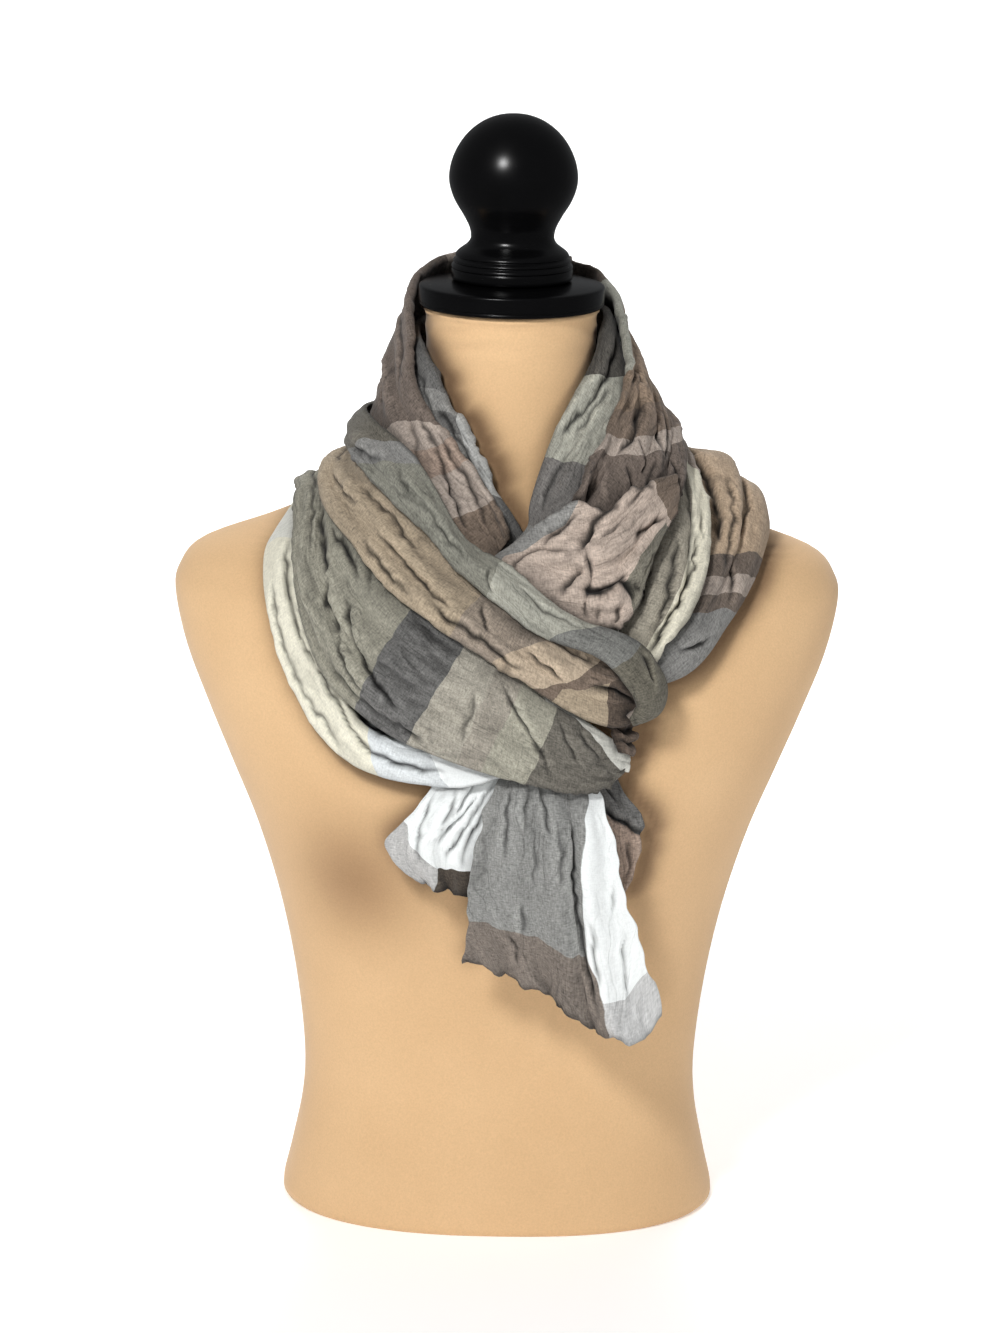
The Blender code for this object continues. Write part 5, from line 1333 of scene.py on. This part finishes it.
solids = [tree_of_node(name) for name in ("form_body", "cap_disc", "cap_finial")]
under_points = [form_shape]
under_faces = [list(face) for face in form_faces]
under_count = len(form_shape)
PLAN = {part.name: part for part in SCARF}
CLOTH_OF = {name: cloth for cloth in CLOTHS for name in cloth.parts}
WIDEST_SHARE, MEAN_SHARE = 0.4, 0.6        # how much a cloth's widest place and its mean count in its columns
COLUMNS = {}
for cloth in CLOTHS:
    widths = [np.linalg.norm(np.subtract(row[0:3], row[3:6])) for name in cloth.parts
              for row in PLAN[name].sections]
    COLUMNS[cloth.name] = int(round((WIDEST_SHARE * max(widths) + MEAN_SHARE * np.mean(widths)) / STEP))
finished = {}
for part in SCARF:
    cloth = CLOTH_OF[part.name]
    grid, turned_first, turned_last = band(part)
    laid = lay(part, grid, turned_first, turned_last, solids)
    solids.append(tree_of_node(part.name))
    tree = BVHTree.FromPolygons(np.concatenate(under_points).tolist(), under_faces)
    before = cloth.parts.index(part.name)
    start = sum(finished[name].share for name in cloth.parts[:before]) if before and all(
        name in finished for name in cloth.parts[:before]) else 0.0
    piece = finish_stretch(part, laid, turned_first, turned_last, LOOKS[part.name], COLUMNS[cloth.name],
                           start, tree)
    finished[part.name] = piece
    under_faces.extend((grid_faces(*piece.grid.shape[:2]) + under_count).tolist())
    under_points.append(piece.grid.reshape(-1, 3))
    under_count += len(under_points[-1])

names = [part.name for part in SCARF]
# painted shadow on each piece beside the edges of the cloth laid over it
for place, name in enumerate(names[:-1]):
    over = [finished[other].grid[:, column] for other in names[place + 1:] for column in (0, -1)]
    over += [finished[other].grid[-1] for other in names[place + 1:] if PLAN[other].ruffle]
    finished[name] = finished[name]._replace(shade=painted_contact_shadow(finished[name], over))

# painted shadow on the form, beside and below the cloth's sides
sides = [finished[name].grid[:, column] for name in names for column in (0, -1)]
away = away_from([line * FORM_FLAT for line in sides], (form_shape - FORM_FALL) * FORM_FLAT)
keep_shade(form_skin.data, 1 - FORM_SHADE * np.exp(-(away / FORM_REACH) ** 2))

for cloth in CLOTHS:
    pieces = [finished[name] for name in cloth.parts]
    grid, run, side, across, shade = joined(pieces)
    length = sum(piece.share for piece in pieces)
    share = run / length
    bent = share - np.interp(share, *cloth.slant) * (np.clip(across, -0.1, 1.1) - 0.5)
    inside = across * 0 - 1
    if cloth.stripe:
        inside = cloth.stripe.side * (across - np.interp(share, *cloth.stripe.edge))
    maps = [("yarns", np.stack([run, side], -1) * MM), ("blocks", np.stack([bent, inside], -1))]
    made = add_mesh(cloth.name, grid.reshape(-1, 3), grid_faces(*grid.shape[:2]), maps, shade)
    wall = made.modifiers.new("Gauze", "SOLIDIFY")
    wall.thickness = GAUZE * MM
    wall.offset = 0
    made.data.materials.append(gauze_material(cloth, length * MM))
    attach(made, "root")
    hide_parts(*cloth.parts)

# ------------------------------------------------------------------ studio
SWEEP_GLOW = 0.30          # how much light the studio paper gives of its own
PAPER, BRIGHT_PAPER = (0.93, 0.93, 0.93, 1), (0.95, 0.95, 0.95, 1)
SWEEP_STEPS, SWEEP_DROP = 17, 0.3          # points in the sweep's bend, and how far it lies below the form
AIR_COLOUR, AIR_LIGHT = (0.95, 0.97, 1.0, 1), 0.15


def sweep_material():
    """A plain pale studio surface with the faintest unevenness."""
    made, tree, shader = new_material("studio_paper", Roughness=0.95, Emission_Color=(1, 1, 1, 1),
                                      Emission_Strength=SWEEP_GLOW)
    place = tree.nodes.new("ShaderNodeTexCoord").outputs["Object"]
    cloud = node(tree, "ShaderNodeTexNoise", Scale=1.5, Detail=2.0, Vector=place)
    plug(tree, mix_colours(tree, cloud.outputs[0], PAPER, BRIGHT_PAPER),
         shader.inputs["Base Color"])
    return made


FLOOR_BACK, FLOOR_FRONT, SWEEP_RADIUS, SWEEP_TOP, SWEEP_HALF = 4200.0, -14000.0, 900.0, 5200.0, 7000.0
bend = [(FLOOR_BACK + SWEEP_RADIUS * math.sin(turn), SWEEP_RADIUS * (1 - math.cos(turn)))
        for turn in np.linspace(0, math.pi / 2, SWEEP_STEPS)]
profile = [(FLOOR_FRONT, 0.0)] + bend + [(FLOOR_BACK + SWEEP_RADIUS, SWEEP_TOP)]
sweep_points = np.array([[[x, y, z - SWEEP_DROP] for x in (-SWEEP_HALF, SWEEP_HALF)] for y, z in profile])
sweep = add_mesh("studio_sweep", sweep_points.reshape(-1, 3), grid_faces(*sweep_points.shape[:2]))
sweep.data.materials.append(sweep_material())
sweep.visible_glossy = False

scene = bpy.context.scene
AIM = Vector((-0.0033, 0.0, 0.330))
VIEW_DISTANCE, VIEW_DOWN, VIEW_LEAN = 2.4, math.radians(14.4), math.radians(0.93)
SENSOR, FOCAL_PIXELS, FRAME_PIXELS = 36.0, 4000.0, 1333.0
ahead = Vector((0, math.cos(VIEW_DOWN), -math.sin(VIEW_DOWN)))
upright = Vector((0, math.sin(VIEW_DOWN), math.cos(VIEW_DOWN)))
level = Vector((1, 0, 0))
right = level * math.cos(VIEW_LEAN) + upright * math.sin(VIEW_LEAN)
top = upright * math.cos(VIEW_LEAN) - level * math.sin(VIEW_LEAN)
lens = bpy.data.cameras.new("studio_camera")
lens.sensor_width = SENSOR
lens.lens = SENSOR * FOCAL_PIXELS / FRAME_PIXELS
camera = bpy.data.objects.new("studio_camera", lens)
camera.matrix_world = Matrix.Translation(AIM - ahead * VIEW_DISTANCE) @ Matrix(
    (right, top, -ahead)).transposed().to_4x4()
scene.collection.objects.link(camera)
scene.camera = camera

Lamp = namedtuple("Lamp", "name place aim size power mirrored")
LAMPS = [
    Lamp("soft_key", (-0.75, -1.85, 2.0), (0.0, -0.05, 0.38), 0.50, 43.0, True),
    Lamp("broad_fill", (1.8, -1.4, 0.9), (0.0, 0.0, 0.35), 1.3, 6.0, False),
    Lamp("front_fill", (-0.5, -2.6, 0.4), (0.0, 0.0, 0.35), 1.6, 6.0, False),
    Lamp("sweep_wash", (0.0, 2.6, 3.2), (0.0, 4.2, 0.2), 1.6, 120.0, False),
    Lamp("back_wash", (0.3, 1.6, 2.2), (0.0, 0.1, 0.4), 1.2, 12.0, False),
]
for lamp in LAMPS:
    light = bpy.data.lights.new(lamp.name, "AREA")
    light.shape = "DISK"
    light.size = lamp.size
    light.energy = lamp.power
    held = bpy.data.objects.new(lamp.name, light)
    held.location = lamp.place
    held.rotation_euler = (Vector(lamp.aim) - Vector(lamp.place)).to_track_quat("-Z", "Y").to_euler()
    held.visible_glossy = lamp.mirrored
    scene.collection.objects.link(held)
world = bpy.data.worlds.new("studio_air")
world.use_nodes = True
air = world.node_tree.nodes["Background"]
air.inputs[0].default_value = AIR_COLOUR
air.inputs[1].default_value = AIR_LIGHT
scene.world = world
scene.view_settings.view_transform = "Standard"
